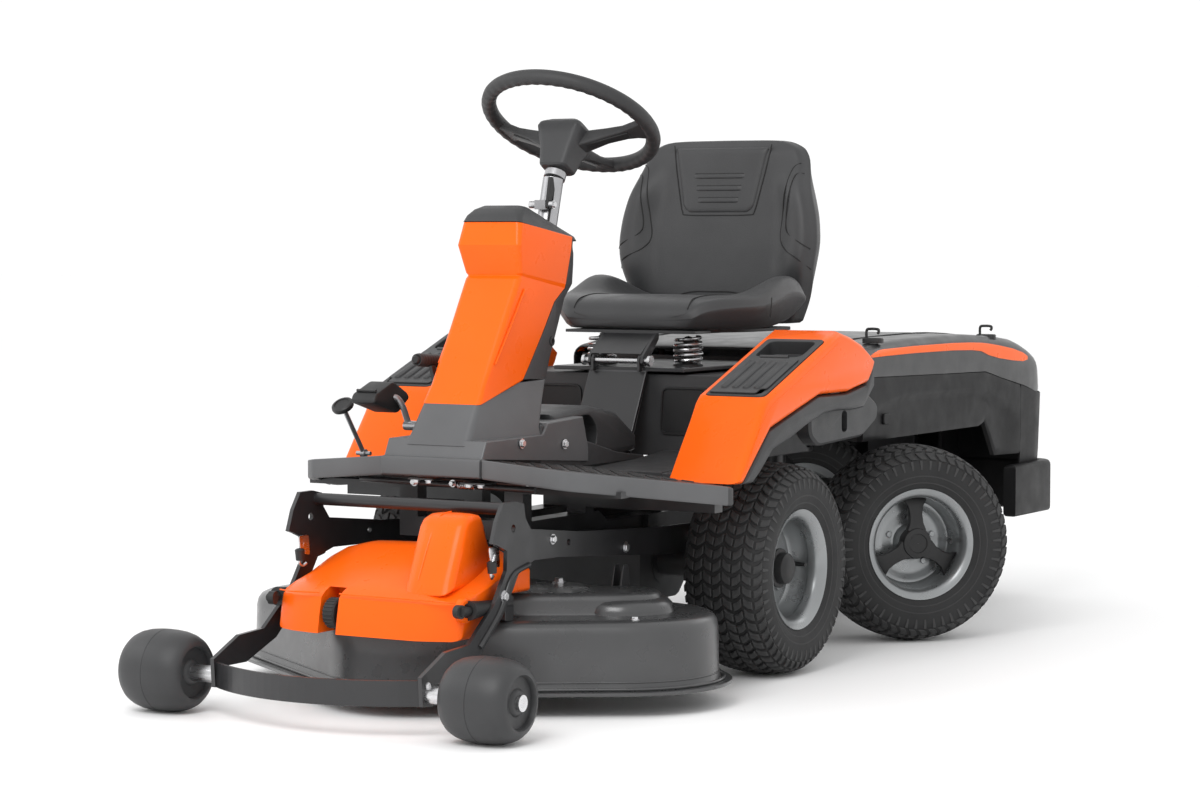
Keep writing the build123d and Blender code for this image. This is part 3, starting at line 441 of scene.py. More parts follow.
# ---------------------------------------------------------------- steering column
def section(front, rear, hf, hr, rf, rr, n=5):
    """Ring between a front and a rear (y, z) point, half-widths hf and hr, rounded corners."""
    f, r = Vector((0, *front)), Vector((0, *rear))
    d = r - f
    length = d.length
    d.normalize()
    out = []
    for (u, v, rad, a0) in ((hf, 0, rf, -math.pi / 2), (hr, length, rr, 0), (-hr, length, rr, math.pi / 2),
                            (-hf, 0, rf, math.pi)):
        cu = u - math.copysign(rad, u)
        cv = v + rad if v == 0 else v - rad
        for k in range(n + 1):
            a = a0 + k / n * math.pi / 2
            pu, pv = cu + rad * math.cos(a), cv + rad * math.sin(a)
            q = f + d * pv
            out.append((pu, q.y, q.z))
    return out


def loft_sections(rows, steps=1):
    rings = [section(*r) for r in rows]
    return loft(rings)


orange = [((-531, 570), (-409.5, 574.5), 59, 67, 10, 2), ((-505, 613), (-380, 608), 60, 66, 12, 2),
          ((-466, 677), (-336, 661), 60.5, 65, 13, 2), ((-432, 734), (-294, 716), 61, 64, 13, 2),
          ((-416, 761), (-266, 735), 61, 64, 13, 2), ((-408.5, 767), (-257, 741), 59, 64.5, 10, 2),
          ((-411, 772), (-255, 748), 62, 65.5, 9, 2), ((-427, 823), (-238.5, 815), 69.5, 68, 9, 2),
          ((-416, 866), (-233, 838), 64.5, 67, 12, 2)]
rings = [section(*q, 9) for q in orange]
# the lower edge drops over the front and rises along the flanks
drop = section((-555.2, 534), (-431, 537.5), 63.4, 74.5, 12, 2, 9)
edge = []
for p, q in zip(rings[0], drop):
    k = 1 - smooth(((p[1] + 531) / 121.5 - 0.02) / 0.6)
    edge.append(tuple(u + (w - u) * k for u, w in zip(p, q)))
v, f = loft([edge] + rings)
make("column_cover_orange", v, f, "orange_plastic", "chassis", ["column_front_cover"], bevel=1.6, sharp=12)
# fold lines pressed into the two flanks
for sx in (-1, 1):
    v, f = tube(curve([(sx * 62.0, -498, 606), (sx * 63.4, -452, 668), (sx * 63.4, -398, 742)], 6), 1.6, 8)
    make("column_fold_%s" % ("left" if sx > 0 else "right"), v, f, "orange_plastic", "chassis")
lower = [((-604, 462), (-398, 462), 70, 104, 12, 10), ((-590, 482), (-396, 490), 67, 98, 14, 12),
         ((-566, 518), (-368, 524), 64, 86, 14, 14), ((-545, 548), (-342, 552), 60.5, 74, 12, 12),
         ((-532, 568), (-324, 572), 58.4, 67, 10, 12)]
v, f = loft_sections(lower)
make("column_cover_lower", v, f, "lip_plastic", "chassis", bevel=2.0)
rear = [((-408, 575), (-321, 574), 66.4, 66, 2, 12), ((-378, 609), (-302, 607), 66, 63, 2, 14),
        ((-334, 662), (-268, 668), 65, 60, 2, 14), ((-292, 716.5), (-238, 724), 64, 58, 2, 14),
        ((-254, 742), (-210, 750), 64.5, 57, 2, 12), ((-246, 785), (-204, 785), 66.4, 55, 2, 10),
        ((-236, 822), (-201, 804), 67.4, 53, 2, 9), ((-232, 837), (-204, 816), 66.4, 52, 2, 9)]
v, f = loft_sections(rear)
plug_hole = raw("cut_plug", *tube([(40, -300, 642), (90, -300, 642)], 9, 20))
make("column_rear_dark", v, f, "dark_plastic", "chassis", ["column_rear_cover"], bevel=2.0,
     cutters=[plug_hole])
turned("column_plug", [(0, 0.1), (0, 7.5), (3, 8.6), (4, 7), (4, 4.5), (1.5, 4), (1.5, 0.1)], (60, -300, 642),
       (1, 0, 0), "black_plastic", "chassis", closed=False, segments=24)
cap = [((-418, 867), (-206, 829), 65, 64, 13, 12), ((-412, 879), (-206, 836), 61, 60, 14, 14),
       ((-398, 890), (-212, 840), 55, 55, 15, 15), ((-378, 896.5), (-224, 846), 49, 49, 16, 16),
       ((-352, 895), (-240, 850), 38, 38, 14, 14)]
v, f = loft_sections(cap)
tube_hole = raw("cut_tube", *tube([(0, -246.4, 762), (0, -185, 980)], 22.5, 32))
make("column_cap_dark", v, f, "dark_plastic", "chassis", ["column_top_cap"], bevel=1.5, cutters=[tube_hole])

# tube with its slot, collar and clamp hardware
v, f = tube([(14.6, -253, 806), (14.6, -229, 892)], 2.2, 8)
make("tube_slot_mark", v, f, "seam_and_painted_shadow", "chassis")
turned("column_collar", [(-5, 20.1), (-5, 23.5), (5, 23.5), (6, 22), (6, 20.1)], (0, -232, 812),
       (0, 0.27, 0.963), "black_plastic", "chassis")
v, f = bolt((26, -236, 899), (1, 0, 0), 6, 5)
make("clamp_bolt", v, f, "zinc_steel", "chassis", sharp=30)

# ---------------------------------------------------------------- steering wheel
T = math.radians(29.2)
WC = Vector((0, -129, 1059))
AX = Vector((0, math.sin(T), math.cos(T)))
VV = Vector((0, math.cos(T), -math.sin(T)))
XX = Vector((1, 0, 0))


def rg(r, ang, s):
    return WC + (XX * math.cos(ang) + VV * math.sin(ang)) * r + AX * s


rings = []
N = 160
for k in range(N):
    a = 2 * math.pi * k / N
    grip = 0.5 + 0.5 * math.cos(48 * a)
    ring = []
    for j in range(20):
        b = 2 * math.pi * j / 20
        under = max(0.0, -math.sin(b))
        rad = 15.4 - (1.5 * grip * under)
        if abs(math.sin(b)) < 0.12 and math.cos(b) > 0:
            rad -= 0.5
        ring.append(tuple(rg(164 + rad * 0.94 * math.cos(b), a, rad * math.sin(b))))
    rings.append(ring)
v, f = loft(rings, False, False)
base = (N - 1) * 20
f += [(base + j, base + (j + 1) % 20, (j + 1) % 20, j) for j in range(20)]
make("steering_ring", v, f, "grip_plastic", "steering_wheel", ["steering_wheel"], sharp=60)


def boxy(s, half, r, n=5):
    pts = rounded([(-half, -half * 0.86), (half, -half * 0.86), (half, half * 0.86), (-half, half * 0.86)], r, n)
    return [tuple(WC + XX * p[0] + VV * p[1] + AX * s) for p in pts]


v, f = loft([boxy(-108, 26, 10), boxy(-104, 30, 12), boxy(-70, 36, 13), boxy(-48, 43, 14), (boxy(-28, 49, 15)),
             boxy(-20, 47, 15), boxy(-14, 40, 15)])
make("steering_hub", v, f, "dark_plastic", "steering_wheel", bevel=1.5)
v, f = loft([boxy(-14, 37, 14), boxy(-11, 36, 14), boxy(-9, 32, 13)])
make("steering_hub_badge_blank", v, f, "black_plastic", "steering_wheel", bevel=1.0)


def spoke(turn, name, width):
    ang = math.radians(turn)
    out = XX * math.cos(ang) + VV * math.sin(ang)
    side = AX.cross(out)
    rings = []
    for r, s, w, h in ((28, -46, width * 1.05, 34), (52, -38, width, 30), (84, -26, width * 0.86, 22),
                       (116, -16, width * 0.9, 17), (140, -8, width * 1.25, 17), (157, -3, width * 1.7, 19),
                       (166, -1, width * 1.9, 17)):
        pts = rounded([(-w / 2, -h / 2), (w / 2, -h / 2), (w / 2, h / 2), (-w / 2, h / 2)], 5, 3)
        rings.append([tuple(WC + out * r + side * p[0] + AX * (s + p[1])) for p in pts])
    v, f = loft(rings)
    make(name, v, f, "grip_plastic", "steering_wheel", bevel=1.0)
    rings = []
    for r, s, w, h in ((50, -52, width * 0.55, 4), (84, -37.4, width * 0.5, 4), (128, -21.5, width * 0.6, 4)):
        pts = rounded([(-w / 2, -h / 2), (w / 2, -h / 2), (w / 2, h / 2), (-w / 2, h / 2)], 1.5, 2)
        rings.append([tuple(WC + out * r + side * p[0] + AX * (s + p[1])) for p in pts])
    v, f = loft(rings)
    make(name + "_pocket", v, f, "black_plastic", "steering_wheel")


spoke(8, "spoke_left", 34)
spoke(172, "spoke_right", 34)
spoke(90, "spoke_rear", 26)

# ---------------------------------------------------------------- footplates and shoe
def floor_z(x, y):
    return 440 - 0.0807 * (abs(x) - 107) - 0.094 * (y + 615)


plan = [(108, -613), (262, -612), (282, -598), (440, -312), (444, -285), (298, -285), (298, -241), (108, -241)]
rings = []
for inward, low in ((4, 0.0), (1, 1.2), (0, 4), (0, 31), (2.5, 34), (9, 34), (11, 32), (12, 18)):
    pts = rounded(inset(plan, inward), max(2.0, 9 - inward * 0.5), 3)
    rings.append([(x, y, floor_z(x, y) - low) for x, y in pts])
v, f = loft(rings)
make("footplate_bodies", v, f, "dark_plastic", "chassis", ["footplates"], both=True, sharp=50)
# light front lip of the plates, carried on across the shoe
strip = [(108, -616), (263, -615), (286, -600), (445, -313), (441, -311), (281, -594), (261, -610), (108, -611)]
v, f = loft([[(x, y, floor_z(x, y) - d) for x, y in inset(strip, e)] for d, e in
             ((-0.6, 1.2), (0.8, 0), (30, 0), (33, 0.8), (34, 1.6))])
make("footplate_lips", v, f, "lip_plastic", "chassis", both=True, sharp=40)
v, f = prism_x([(-622, 436), (-619, 441.5), (-600, 442.5), (-600, 408), (-618, 406), (-622, 409)], -106.4, 106.4)
make("shoe_lip", v, f, "lip_plastic", "chassis", bevel=2.0)
# linkage seen under the front edge
parts = [tube([(-190, -566, 392), (190, -566, 386)], 5.5, 16), tube([(-150, -540, 400), (150, -535, 392)], 4, 14),
         box(-62, -8, -600, -556, 398, 401), box(52, 104, -600, -560, 394, 397)]
v, f = join(*parts)
make("front_linkage_rods", v, f, "frame_steel", "chassis", sharp=35)
parts = [bolt(p, (0, 0, -1), 6, 7) for p in ((-50, -590, 398), (-22, -590, 398), (64, -590, 394), (90, -590, 394),
                                             (76, -570, 394), (-36, -566, 398))]
parts += [bolt((-62, -578, 392), (0, -1, 0), 6, 8), bolt((20, -575, 392), (0, -1, 0), 5, 8)]
coil = [(30 + 38 * k / 120, -572 + 6 * math.cos(k * 0.55), 389 + 6 * math.sin(k * 0.55)) for k in range(121)]
parts.append(tube(coil, 1.3, 6))
v, f = join(*parts)
make("front_linkage_bolts", v, f, "zinc_steel", "chassis", sharp=30)
# raised anti-slip bars standing on the plates
bars = []
for row in range(11):
    y = -584 + row * 26
    lim = 252 + (y + 584) * 0.54 if y < -300 else 288
    x = 124.0
    while x + 30 < min(lim, 420):
        shift = 0 if row % 2 == 0 else 18
        xs, xe = x + shift, x + shift + 26
        if xe < min(lim, 420):
            pts = rounded([(xs, y), (xe, y), (xe, y + 7), (xs, y + 7)], 3, 2)
            bars.append(loft([[(px, py, floor_z(px, py) - 1) for px, py in pts],
                              [(px, py, floor_z(px, py) + 1.8) for px, py in inset(pts, 0.4)],
                              [(px, py, floor_z(px, py) + 2.4) for px, py in inset(pts, 1.4)]]))
        x += 38
v, f = join(*bars)
make("footplate_treads", v, f, "black_plastic", "chassis", both=True, sharp=50)
ribs = []
for y in (-560, -510, -460, -410, -360, -310):
    lim = 262 + (y + 612) * 0.55
    ribs.append(loft([[(x, y + dy, floor_z(x, y + dy) + dz) for x, dy, dz in
                       ((120, 0, -16), (lim - 24, 0, -16), (lim - 30, 0, -31), (120, 0, -31))],
                      [(x, y + dy, floor_z(x, y + dy) + dz) for x, dy, dz in
                       ((120, 4, -16), (lim - 24, 4, -16), (lim - 30, 4, -31), (120, 4, -31))]]))
v, f = join(*ribs)
make("footplate_ribs", v, f, "black_plastic", "chassis", both=True, sharp=30)
for i, (x, y, z) in enumerate(((107.5, -330, 452), (107.5, -480, 462))):
    parts = [bolt((sx * x, y, z), (sx, 0, 0), 7, 6) for sx in (-1, 1)]
    v, f = join(*parts)
    make("shoe_bolts_%d" % (i + 1), v, f, "zinc_steel", "chassis", sharp=30)

# ---------------------------------------------------------------- seat
BACK_W = [(655, 196), (690, 208), (735, 222), (790, 233), (824, 237), (870, 233), (915, 222), (956, 207),
          (1000, 195), (1024, 180), (1036, 150), (1040, 118)]


def back_front(x, z):
    w = lerp(BACK_W, z)[0]
    u = min(1.0, abs(x) / w)
    y = 447 + (z - 712) * 0.122
    swell = smooth((z - 700) / 90) * smooth((1010 - z) / 90)
    y -= 34 * swell * smooth((u - 0.56) / 0.3)
    y += 40 * smooth((u - 0.9) / 0.1) ** 2 * 0.6
    y -= 5 * math.cos(u * math.pi / 2) * smooth((z - 660) / 60) * smooth((900 - z) / 120)
    y += 10 * u * u
    return y


rings = []
levels = [655, 662, 676, 700, 725, 750, 775, 800, 825, 850, 875, 900, 925, 950, 975, 998, 1012, 1022, 1030, 1036,
          1040]
NF, NB = 36, 18
for z in levels:
    w = lerp(BACK_W, z)[0]
    pinch = smooth((1044 - z) / 30) * smooth((z - 640) / 25)
    ring = []
    for k in range(NF + 1):
        a = -1 + 2 * k / NF
        u = math.sin(a * math.pi / 2)
        y0 = back_front(u * w, z)
        mid = 447 + (z - 712) * 0.122 + 28
        ring.append((u * w, mid + (y0 - mid) * (0.35 + 0.65 * pinch), z))
    for k in range(1, NB):
        a = 1 - 2 * k / NB
        u = math.sin(a * math.pi / 2)
        yb = 447 + (z - 712) * 0.122 + 28 + (24 + 14 * (1 - abs(u) ** 2.5)) * (0.3 + 0.7 * pinch) * (1 - abs(u) ** 6)
        ring.append((u * w, min(yb, 535), z))
    rings.append(ring)
v, f = loft(rings)
back = make("seat_back_pad", v, f, "seat_vinyl", "seat", ["seat_back"], subsurf=1)


def on_back(x, z, proud=1.0):
    return (x, back_front(x, z) - proud, z)


def patch(outline_fn, z0, z1, nz, nx, proud, thick=6):
    """A raised panel that follows the seat back between half-widths given by outline_fn(z)."""
    verts, faces = [], []
    for layer in (proud, -thick):
        for i in range(nz + 1):
            z = z0 + (z1 - z0) * i / nz
            w = outline_fn(z)
            for j in range(nx + 1):
                x = w * (-1 + 2 * j / nx)
                edge = min(i, nz - i, j, nx - j)
                p = layer if layer < 0 else proud * (0.25 if edge == 0 else 1.0)
                verts.append(on_back(x, z, p))
    n = (nz + 1) * (nx + 1)
    for i in range(nz):
        for j in range(nx):
            q = i * (nx + 1) + j
            faces.append((q, q + 1, q + nx + 2, q + nx + 1))
            faces.append((n + q + nx + 1, n + q + nx + 2, n + q + 1, n + q))
    rim = ([(0, j) for j in range(nx)] + [(i, nx) for i in range(nz)] + [(nz, nx - j) for j in range(nx)]
           + [(nz - i, 0) for i in range(nz)])
    idx = [i * (nx + 1) + j for i, j in rim]
    for a, b in zip(idx, idx[1:] + idx[:1]):
        faces.append((a, a + n, b + n, b))
    return verts, faces


def panel_w(z):
    w = 82 + (z - 887) * 32 / 153
    return w - max(0.0, 12 - (z - 887)) * 1.0


v, f = patch(panel_w, 887, 1024, 20, 22, 3.2)
make("seat_back_panel", v, f, "seat_vinyl", "seat", subsurf=1)
# each slot: a dark sheet, slightly larger than its bar, is painted shadow round the raised vinyl bar
for i, (za, zb, w) in enumerate(((957, 973, 68), (931, 948, 62), (906, 923, 56))):
    v, f = patch(lambda z: w, za - 1, zb + 2, 4, 12, 3.5, 4)
    make("seat_slot_shadow_%d" % (i + 1), v, f, "seam_and_painted_shadow", "seat")
    v, f = patch(lambda z: w - 3, za + 1, zb - 2.5, 5, 12, 5.6, 4)
    make("seat_slot_bar_%d" % (i + 1), v, f, "seat_vinyl", "seat", subsurf=1)
seams = []
seams.append(curve([on_back(-x, z, 0.4) for x, z in ((116, 1030), (108, 985), (96, 930), (86, 890), (74, 883))]
                   + [on_back(0, 882, 0.4)]
                   + [on_back(x, z, 0.4) for x, z in ((74, 883), (86, 890), (96, 930), (108, 985), (116, 1030))], 5))
for sx in (-1, 1):
    seams.append(curve([on_back(sx * x, z, 0.3) for x, z in
                        ((186, 990), (172, 978), (164, 930), (158, 880), (154, 836), (170, 812), (206, 792),
                         (226, 770))], 5))
    seams.append(curve([on_back(sx * x, z, 0.3) for x, z in
                        ((196, 968), (182, 964), (176, 920), (170, 870), (176, 846), (212, 824), (228, 812))], 5))
seams.append(curve([on_back(x, 700 + 22 * smooth((112 - abs(x)) / 60), 0.4) for x in
                    (-112, -90, -70, -40, 0, 40, 70, 90, 112)], 5))
v, f = join(*[tube(s, 1.3, 8) for s in seams])
make("seat_back_seams", v, f, "seam_and_painted_shadow", "seat")

CUSH = [(92, 143, 676, 660, 0), (98, 152, 694, 655, 0), (110, 166, 707, 653, 0), (130, 188, 715, 652.5, 0),
        (160, 212, 719, 652.2, 0), (200, 236, 720, 652.2, 1), (234, 245, 718, 652.2, 6), (270, 246, 715, 652.2, 22),
        (305, 246, 712, 652.2, 40), (336, 246, 710, 652.2, 50), (370, 245, 709, 652.2, 50),
        (405, 240, 709, 652.2, 40), (432, 230, 710, 654, 24), (446, 214, 708, 658, 10), (452, 196, 698, 668, 2)]
rings = []
for y, w, zt, zb, bo in CUSH:
    ring = []
    for k in range(33):
        u = math.sin((-1 + 2 * k / 32) * math.pi / 2)
        crown = 4 * math.cos(u * math.pi / 2) - 2
        z = zt + crown + bo * smooth((abs(u) - 0.5) / 0.36) - (zt - zb + bo) * 0.3 * smooth((abs(u) - 0.93) / 0.07)
        ring.append((u * w, y, z))
    side_lift = 26 * smooth((y - 290) / 150)
    for k in range(1, 20):
        u = 1 - 2 * k / 20
        ring.append((u * (w - 6), y, zb + side_lift * smooth((abs(u) - 0.62) / 0.38)))
    rings.append(ring)
v, f = loft(rings)
cushion = make("seat_cushion_pad", v, f, "seat_vinyl", "seat", ["seat_cushion"], subsurf=1)


def cush_top(x, y):
    w, zt, zb, bo = lerp(CUSH, y)
    u = min(1.0, abs(x) / w)
    return zt + 4 * math.cos(u * math.pi / 2) - 2 + bo * smooth((u - 0.5) / 0.36) + 0.3


seams = []
for sx in (-1, 1):
    seams.append(curve([(sx * 131, 100, 694), (sx * 131, 112, 707), (sx * 130, 130, cush_top(130, 130)),
                        (sx * 134, 180, cush_top(134, 180)), (sx * 140, 240, cush_top(140, 240)),
                        (sx * 134, 300, cush_top(134, 300)), (sx * 124, 380, cush_top(124, 380)),
                        (sx * 118, 425, cush_top(118, 425))], 5))
    seams.append(curve([(sx * 246.4, 240, 716), (sx * 246.8, 238, 700), (sx * 245, 236, 676)], 4))
v, f = join(*[tube(s, 1.3, 8) for s in seams])
make("seat_cushion_seams", v, f, "seam_and_painted_shadow", "seat")
v, f = prism_z(rounded([(-118, 110), (118, 110), (196, 236), (206, 420), (-206, 420), (-196, 236)], 24, 4), 646, 653)
make("seat_pan", v, f, "black_plastic", "seat", bevel=1.5)

# coil springs with end caps
parts = []
for sx in (-1, 1):
    pts = []
    for k in range(0, 241):
        t = k / 240
        a = 2 * math.pi * 5.2 * t
        r = 24 + 3 * math.sin(math.pi * t)
        pts.append((sx * 100 + r * math.cos(a), 160 + r * math.sin(a), 583 + 54 * t))
    parts.append(tube(pts, 3.4, 10))
v, f = join(*parts)
make("seat_coils", v, f, "zinc_steel", "chassis", ["seat_springs"])
for sx, side in ((-1, "right"), (1, "left")):
    turned("spring_seat_%s" % side, [(0, 10), (0, 30), (3, 30), (5, 21), (5, 10)], (sx * 100, 160, 579), (0, 0, 1),
           "black_plastic", "chassis")
    turned("spring_stop_%s" % side, [(0, 1), (0, 10), (50, 10), (54, 7), (56, 1)], (sx * 100, 160, 583), (0, 0, 1),
           "black_plastic", "chassis")
# front plate of the seat support, with the folded upper bracket
v, f = prism_x([(50, 571), (58, 578), (60, 574), (-2, 436), (-8, 436)], -65, 65)
make("seat_front_plate", v, f, "lip_plastic", "chassis", bevel=1.5)

# tunnel: low tapering side walls, a narrow hump with a pocket in its flank, and the seat base behind
v, f = prism_x([(-404, 404), (-404, 492), (-330, 475), (-122, 424), (-20, 412), (-20, 404)], -102, 102)
make("tunnel_walls", v, f, "dark_plastic", "chassis", ["tunnel_cover"], bevel=3.0)
v, f = loft([[(x, y, z) for y, z in inset([(-330, 430), (-330, 506), (-190, 516), (-90, 498), (-14, 452), (-14, 420),
                                            (-100, 410), (-330, 410)], d)]
             for x, d in ((-84, 12), (-80, 4), (-72, 0), (72, 0), (80, 4), (84, 12))])
pocket = raw("cut_pocket", *prism_x(rounded([(-286, 432), (-176, 432), (-168, 470), (-196, 500), (-262, 496),
                                             (-292, 462)], 26, 6), 58, 100))
make("tunnel_hump", v, f, "dark_plastic", "chassis", bevel=2.0, cutters=[pocket])
v, f = join(prism_x([(-246, 390), (-246, 400), (-60, 406), (68, 416), (68, 402), (-60, 396)], 100, 268),
            prism_x([(-246, 388), (-246, 398), (-212, 400), (-212, 390)], 268, 300))
make("floor_rear_panels", v, f, "dark_plastic", "chassis", both=True, bevel=1.5)
v, f = box(-290, 290, 66, 312, 404, 566)
hollow = raw("cut_base", *box(-286, 286, 70, 330, 380, 561))
make("seat_base_box", v, f, "dark_plastic", "chassis", bevel=5.0, cutters=[hollow])
pieces = []
for sx in (-1, 1):
    q = rounded([(sx * 88, 446), (sx * 196, 446), (sx * 226, 486), (sx * 214, 542), (sx * 92, 542)], 18, 5)
    rim = inset(q, 5)
    n = len(q)
    pieces.append(loft([[(x, 66.5, z) for x, z in q], [(x, 62.5, z) for x, z in inset(q, 1)],
                        [(x, 62.5, z) for x, z in inset(q, 4)], [(x, 65.5, z) for x, z in rim]]))
v, f = join(*pieces)
make("seat_base_pockets", v, f, "black_plastic", "chassis", sharp=40)

# ---------------------------------------------------------------- fenders
FENDER = [(-278, 386), (-236, 441), (-196, 492), (-172, 527), (-156, 541), (-100, 562), (0, 600), (100, 637.8),
          (148, 655), (200, 644), (250, 628), (290, 607), (313, 592), (301, 571), (280, 548), (235, 541), (192, 534),
          (130, 534), (69, 534), (0, 516), (-70, 497.5), (-140, 479), (-195, 431), (-249, 384)]
rings = []
for x, d in ((300, 0.6), (302, 0), (425, 0), (434, 1.2), (440, 3.6), (443.6, 7.5), (445, 12)):
    rings.append([(x, y, z) for y, z in inset(FENDER, d)])
v, f = loft(rings)
SL = math.radians(20.7)


def slope(x, y, z):
    return (372 + x, -25 + y * math.cos(SL) - z * math.sin(SL), 590.5 + y * math.sin(SL) + z * math.cos(SL))


def slab(points, z0, z1, side=1):
    a = [slope(x, y, z0) for x, y in points]
    b = [slope(x, y, z1) for x, y in points]
    v, f = loft([a, b])
    return [(side * p[0], p[1], p[2]) for p in v], f


def rr(cx, cy, w, h, r, n=5):
    return rounded([(cx - w / 2, cy - h / 2), (cx + w / 2, cy - h / 2), (cx + w / 2, cy + h / 2),
                    (cx - w / 2, cy + h / 2)], r, n)


for side, word in ((1, "left"), (-1, "right")):
    vs = [(side * p[0], p[1], p[2]) for p in v]
    cut = raw("cut_tray", *slab(rr(0, -2, 126, 278, 13), -40, 40, side))
    make("fender_%s" % word, vs, f, "orange_plastic", "chassis", ["fenders"] if side > 0 else (), bevel=1.2,
         seg=2, cutters=[cut])
    # tray: rim, floor field and bin
    tv, tf = slab(rr(0, -2, 124, 276, 12), -32, 1.6, side)
    c1 = raw("cut_a", *slab(rr(0, -50, 104, 160, 10), -28, 30, side))
    c2 = raw("cut_b", *slab(rr(0, 86, 100, 76, 16), -28, 30, side))
    make("tray_%s" % word, tv, tf, "dark_plastic", "chassis", ["trays"] if side > 0 else (), bevel=2.2,
         seg=3, cutters=[c1, c2])
    # lid with three long ribs and a lift notch
    lid = rounded([(-56, -133), (44, -133), (44, -112), (56, -112), (56, 32), (-56, 32)], 6, 3)
    lv, lf = slab(lid, 2.0, 5.2, side)
    make("lid_%s" % word, lv, lf, "dark_plastic", "tray_lid_" + word, ["tray_lid_" + word], bevel=1.2, seg=2)
    parts = []
    for x in (-34, -11, 12, 35):
        a = rr(x, -50, 15, 128, 7, 4)
        parts.append(loft([[slope(p[0], p[1], 5.0) for p in a], [slope(p[0], p[1], 7.4) for p in inset(a, 0.6)],
                           [slope(p[0], p[1], 8.6) for p in inset(a, 2.4)]]))
    rv, rf = join(*parts)
    make("lid_ribs_%s" % word, [(side * p[0], p[1], p[2]) for p in rv], rf, "dark_plastic", "tray_lid_" + word,
         sharp=45)
    kv, kf = tube([slope(-30, 38, 4.5), slope(30, 38, 4.5)], 3.6, 14)
    make("lid_knuckle_%s" % word, [(side * p[0], p[1], p[2]) for p in kv], kf, "dark_plastic", "tray_lid_" + word)
    # fold line along the outer face of the fender
    fv, ff = tube(curve([(444.2, -250, 400), (444.8, -214, 452), (444.8, -150, 518), (444.8, -40, 562),
                         (444.8, 60, 600), (444.8, 140, 632)], 6), 1.0, 8)
    make("fender_fold_%s" % word, [(side * p[0], p[1], p[2]) for p in fv], ff, "orange_plastic", "chassis")

# arch trims: a bowed grey band under the fender and the outer guard with its oval hole
arch = [(-245, 383.4), (-190, 431), (-137, 477), (-70, 494.6), (0, 513.2), (69.4, 531.6), (130, 531.6),
        (192.4, 531.6), (235, 538), (279, 544.6), (309, 590), (318, 560), (318, 540), (270, 500), (220, 497),
        (150, 500), (90, 496), (20, 478), (-50, 456), (-120, 440), (-170, 402), (-200, 383.4)]
rings = []
for x, d in ((412, 3), (418, 0), (432, 0), (437, 2.5), (439.5, 7)):
    rings.append([(x, y, z) for y, z in inset(arch, d)])
v, f = loft(rings)
make("arch_band", v, f, "dark_plastic", "chassis", ["arch_trims"], both=True, bevel=1.5, seg=2)
guard = rounded([(92, 500), (96, 452), (132, 430), (330, 438), (398, 470), (400, 500), (318, 541)], 14, 4)
rings = []
for x, d in ((372, 4), (376, 0), (402, 0), (407, 5)):
    rings.append([(x, y, z) for y, z in inset(guard, d)])
v, f = loft(rings)
for side, word in ((1, "left"), (-1, "right")):
    vs = [(side * p[0], p[1], p[2]) for p in v]
    hole = raw("cut_oval", *prism_x(rounded([(232, 452), (256, 452), (256, 494), (232, 494)], 12, 5), side * 340,
                                    side * 440))
    make("arch_guard_%s" % word, vs, f, "dark_plastic", "chassis", bevel=2.0, cutters=[hole])
v, f = box(300, 376, 118, 330, 498, 503)
make("arch_shelf", v, f, "black_plastic", "chassis", both=True, bevel=1.5)

# ---------------------------------------------------------------- hood
HOODS = [(460, 602, 549, 350), (470, 606, 548.6, 350), (520, 612, 547.5, 350), (600, 618, 546, 350),
         (700, 622, 544, 350), (850, 623, 541, 350), (1000, 622, 538.5, 350), (1078, 618, 537, 350),
         (1170, 612, 519, 350), (1250, 604, 505, 350), (1300, 593, 496, 349), (1350, 579, 485, 347),
         (1385, 567, 477, 343), (1404, 556, 476, 338), (1416, 538, 477, 334), (1427, 514, 479, 330),
         (1436, 494, 483, 327)]
rings = []
for y, zt, zl, w in HOODS:
    ring = []
    h = zt - zl
    r = min(30.0, h * 0.45)
    side_pts = [(w, zl), (w, zl + (h - r) * 0.5), (w, zt - r)]
    arc = [(w - r + r * math.cos(a), zt - r + r * math.sin(a)) for a in
           (math.radians(18), math.radians(40), math.radians(62), math.radians(80))]
    top = [(x, zt + 3 * (1 - (x / w) ** 2) - 1.0) for x in (w - r - 4, 270, 255, 180, 90)]
    half = side_pts + arc + top
    ring = [(x, y, z) for x, z in half] + [(0, y, zt + 2)] + [(-x, y, z) for x, z in reversed(half)]
    rings.append(ring)
v, f = loft(rings, False, False, closed=False)
hood = raw("hood_skin", v, f)
bm = bmesh.new()
bm.from_mesh(hood.data)
if sum(q.normal.z * q.calc_area() for q in bm.faces) < 0:
    bmesh.ops.reverse_faces(bm, faces=bm.faces)
bm.to_mesh(hood.data)
bm.free()
sol = hood.modifiers.new("wall", "SOLIDIFY")
sol.thickness = 0.0035
sol.offset = -1
finish_object(hood, "hood_plastic", "hood", ["hood_shell"], bevel=0)
hb = hood.modifiers.new("edge", "BEVEL")
hb.width = 0.0012
hb.segments = 2
hb.limit_method = "ANGLE"
hb.angle_limit = math.radians(50)
# crease lines on the lid
lines = []
for x in (-238, 238):
    lines.append(curve([(x, y, lerp([(a, b) for a, b, c, d in HOODS], y)[0] + 1.6) for y in
                        (470, 600, 800, 1000, 1200, 1330, 1390)], 4))
lines.append(curve([(x, 1340, lerp([(a, b) for a, b, c, d in HOODS], 1340)[0] + 2.0 - 3 * (x / 350) ** 2)
                    for x in (-238, -120, 0, 120, 238)], 4))
v, f = join(*[tube(s, 1.3, 8) for s in lines])
make("hood_creases", v, f, "seam_and_painted_shadow", "hood")
# louvres through the rear of the lid
parts = []
for k in range(6):
    y = 1110 + k * 22
    z = lerp([(a, b) for a, b, c, d in HOODS], y)[0]
    q = rounded([(-150, y), (150, y), (150, y + 10), (-150, y + 10)], 4, 3)
    parts.append(loft([[(px, py, z - 3) for px, py in q], [(px, py, z + 3.4) for px, py in inset(q, 0.8)]]))
v, f = join(*parts)
make("hood_louvres", v, f, "black_plastic", "hood", bevel=0.8, seg=2)
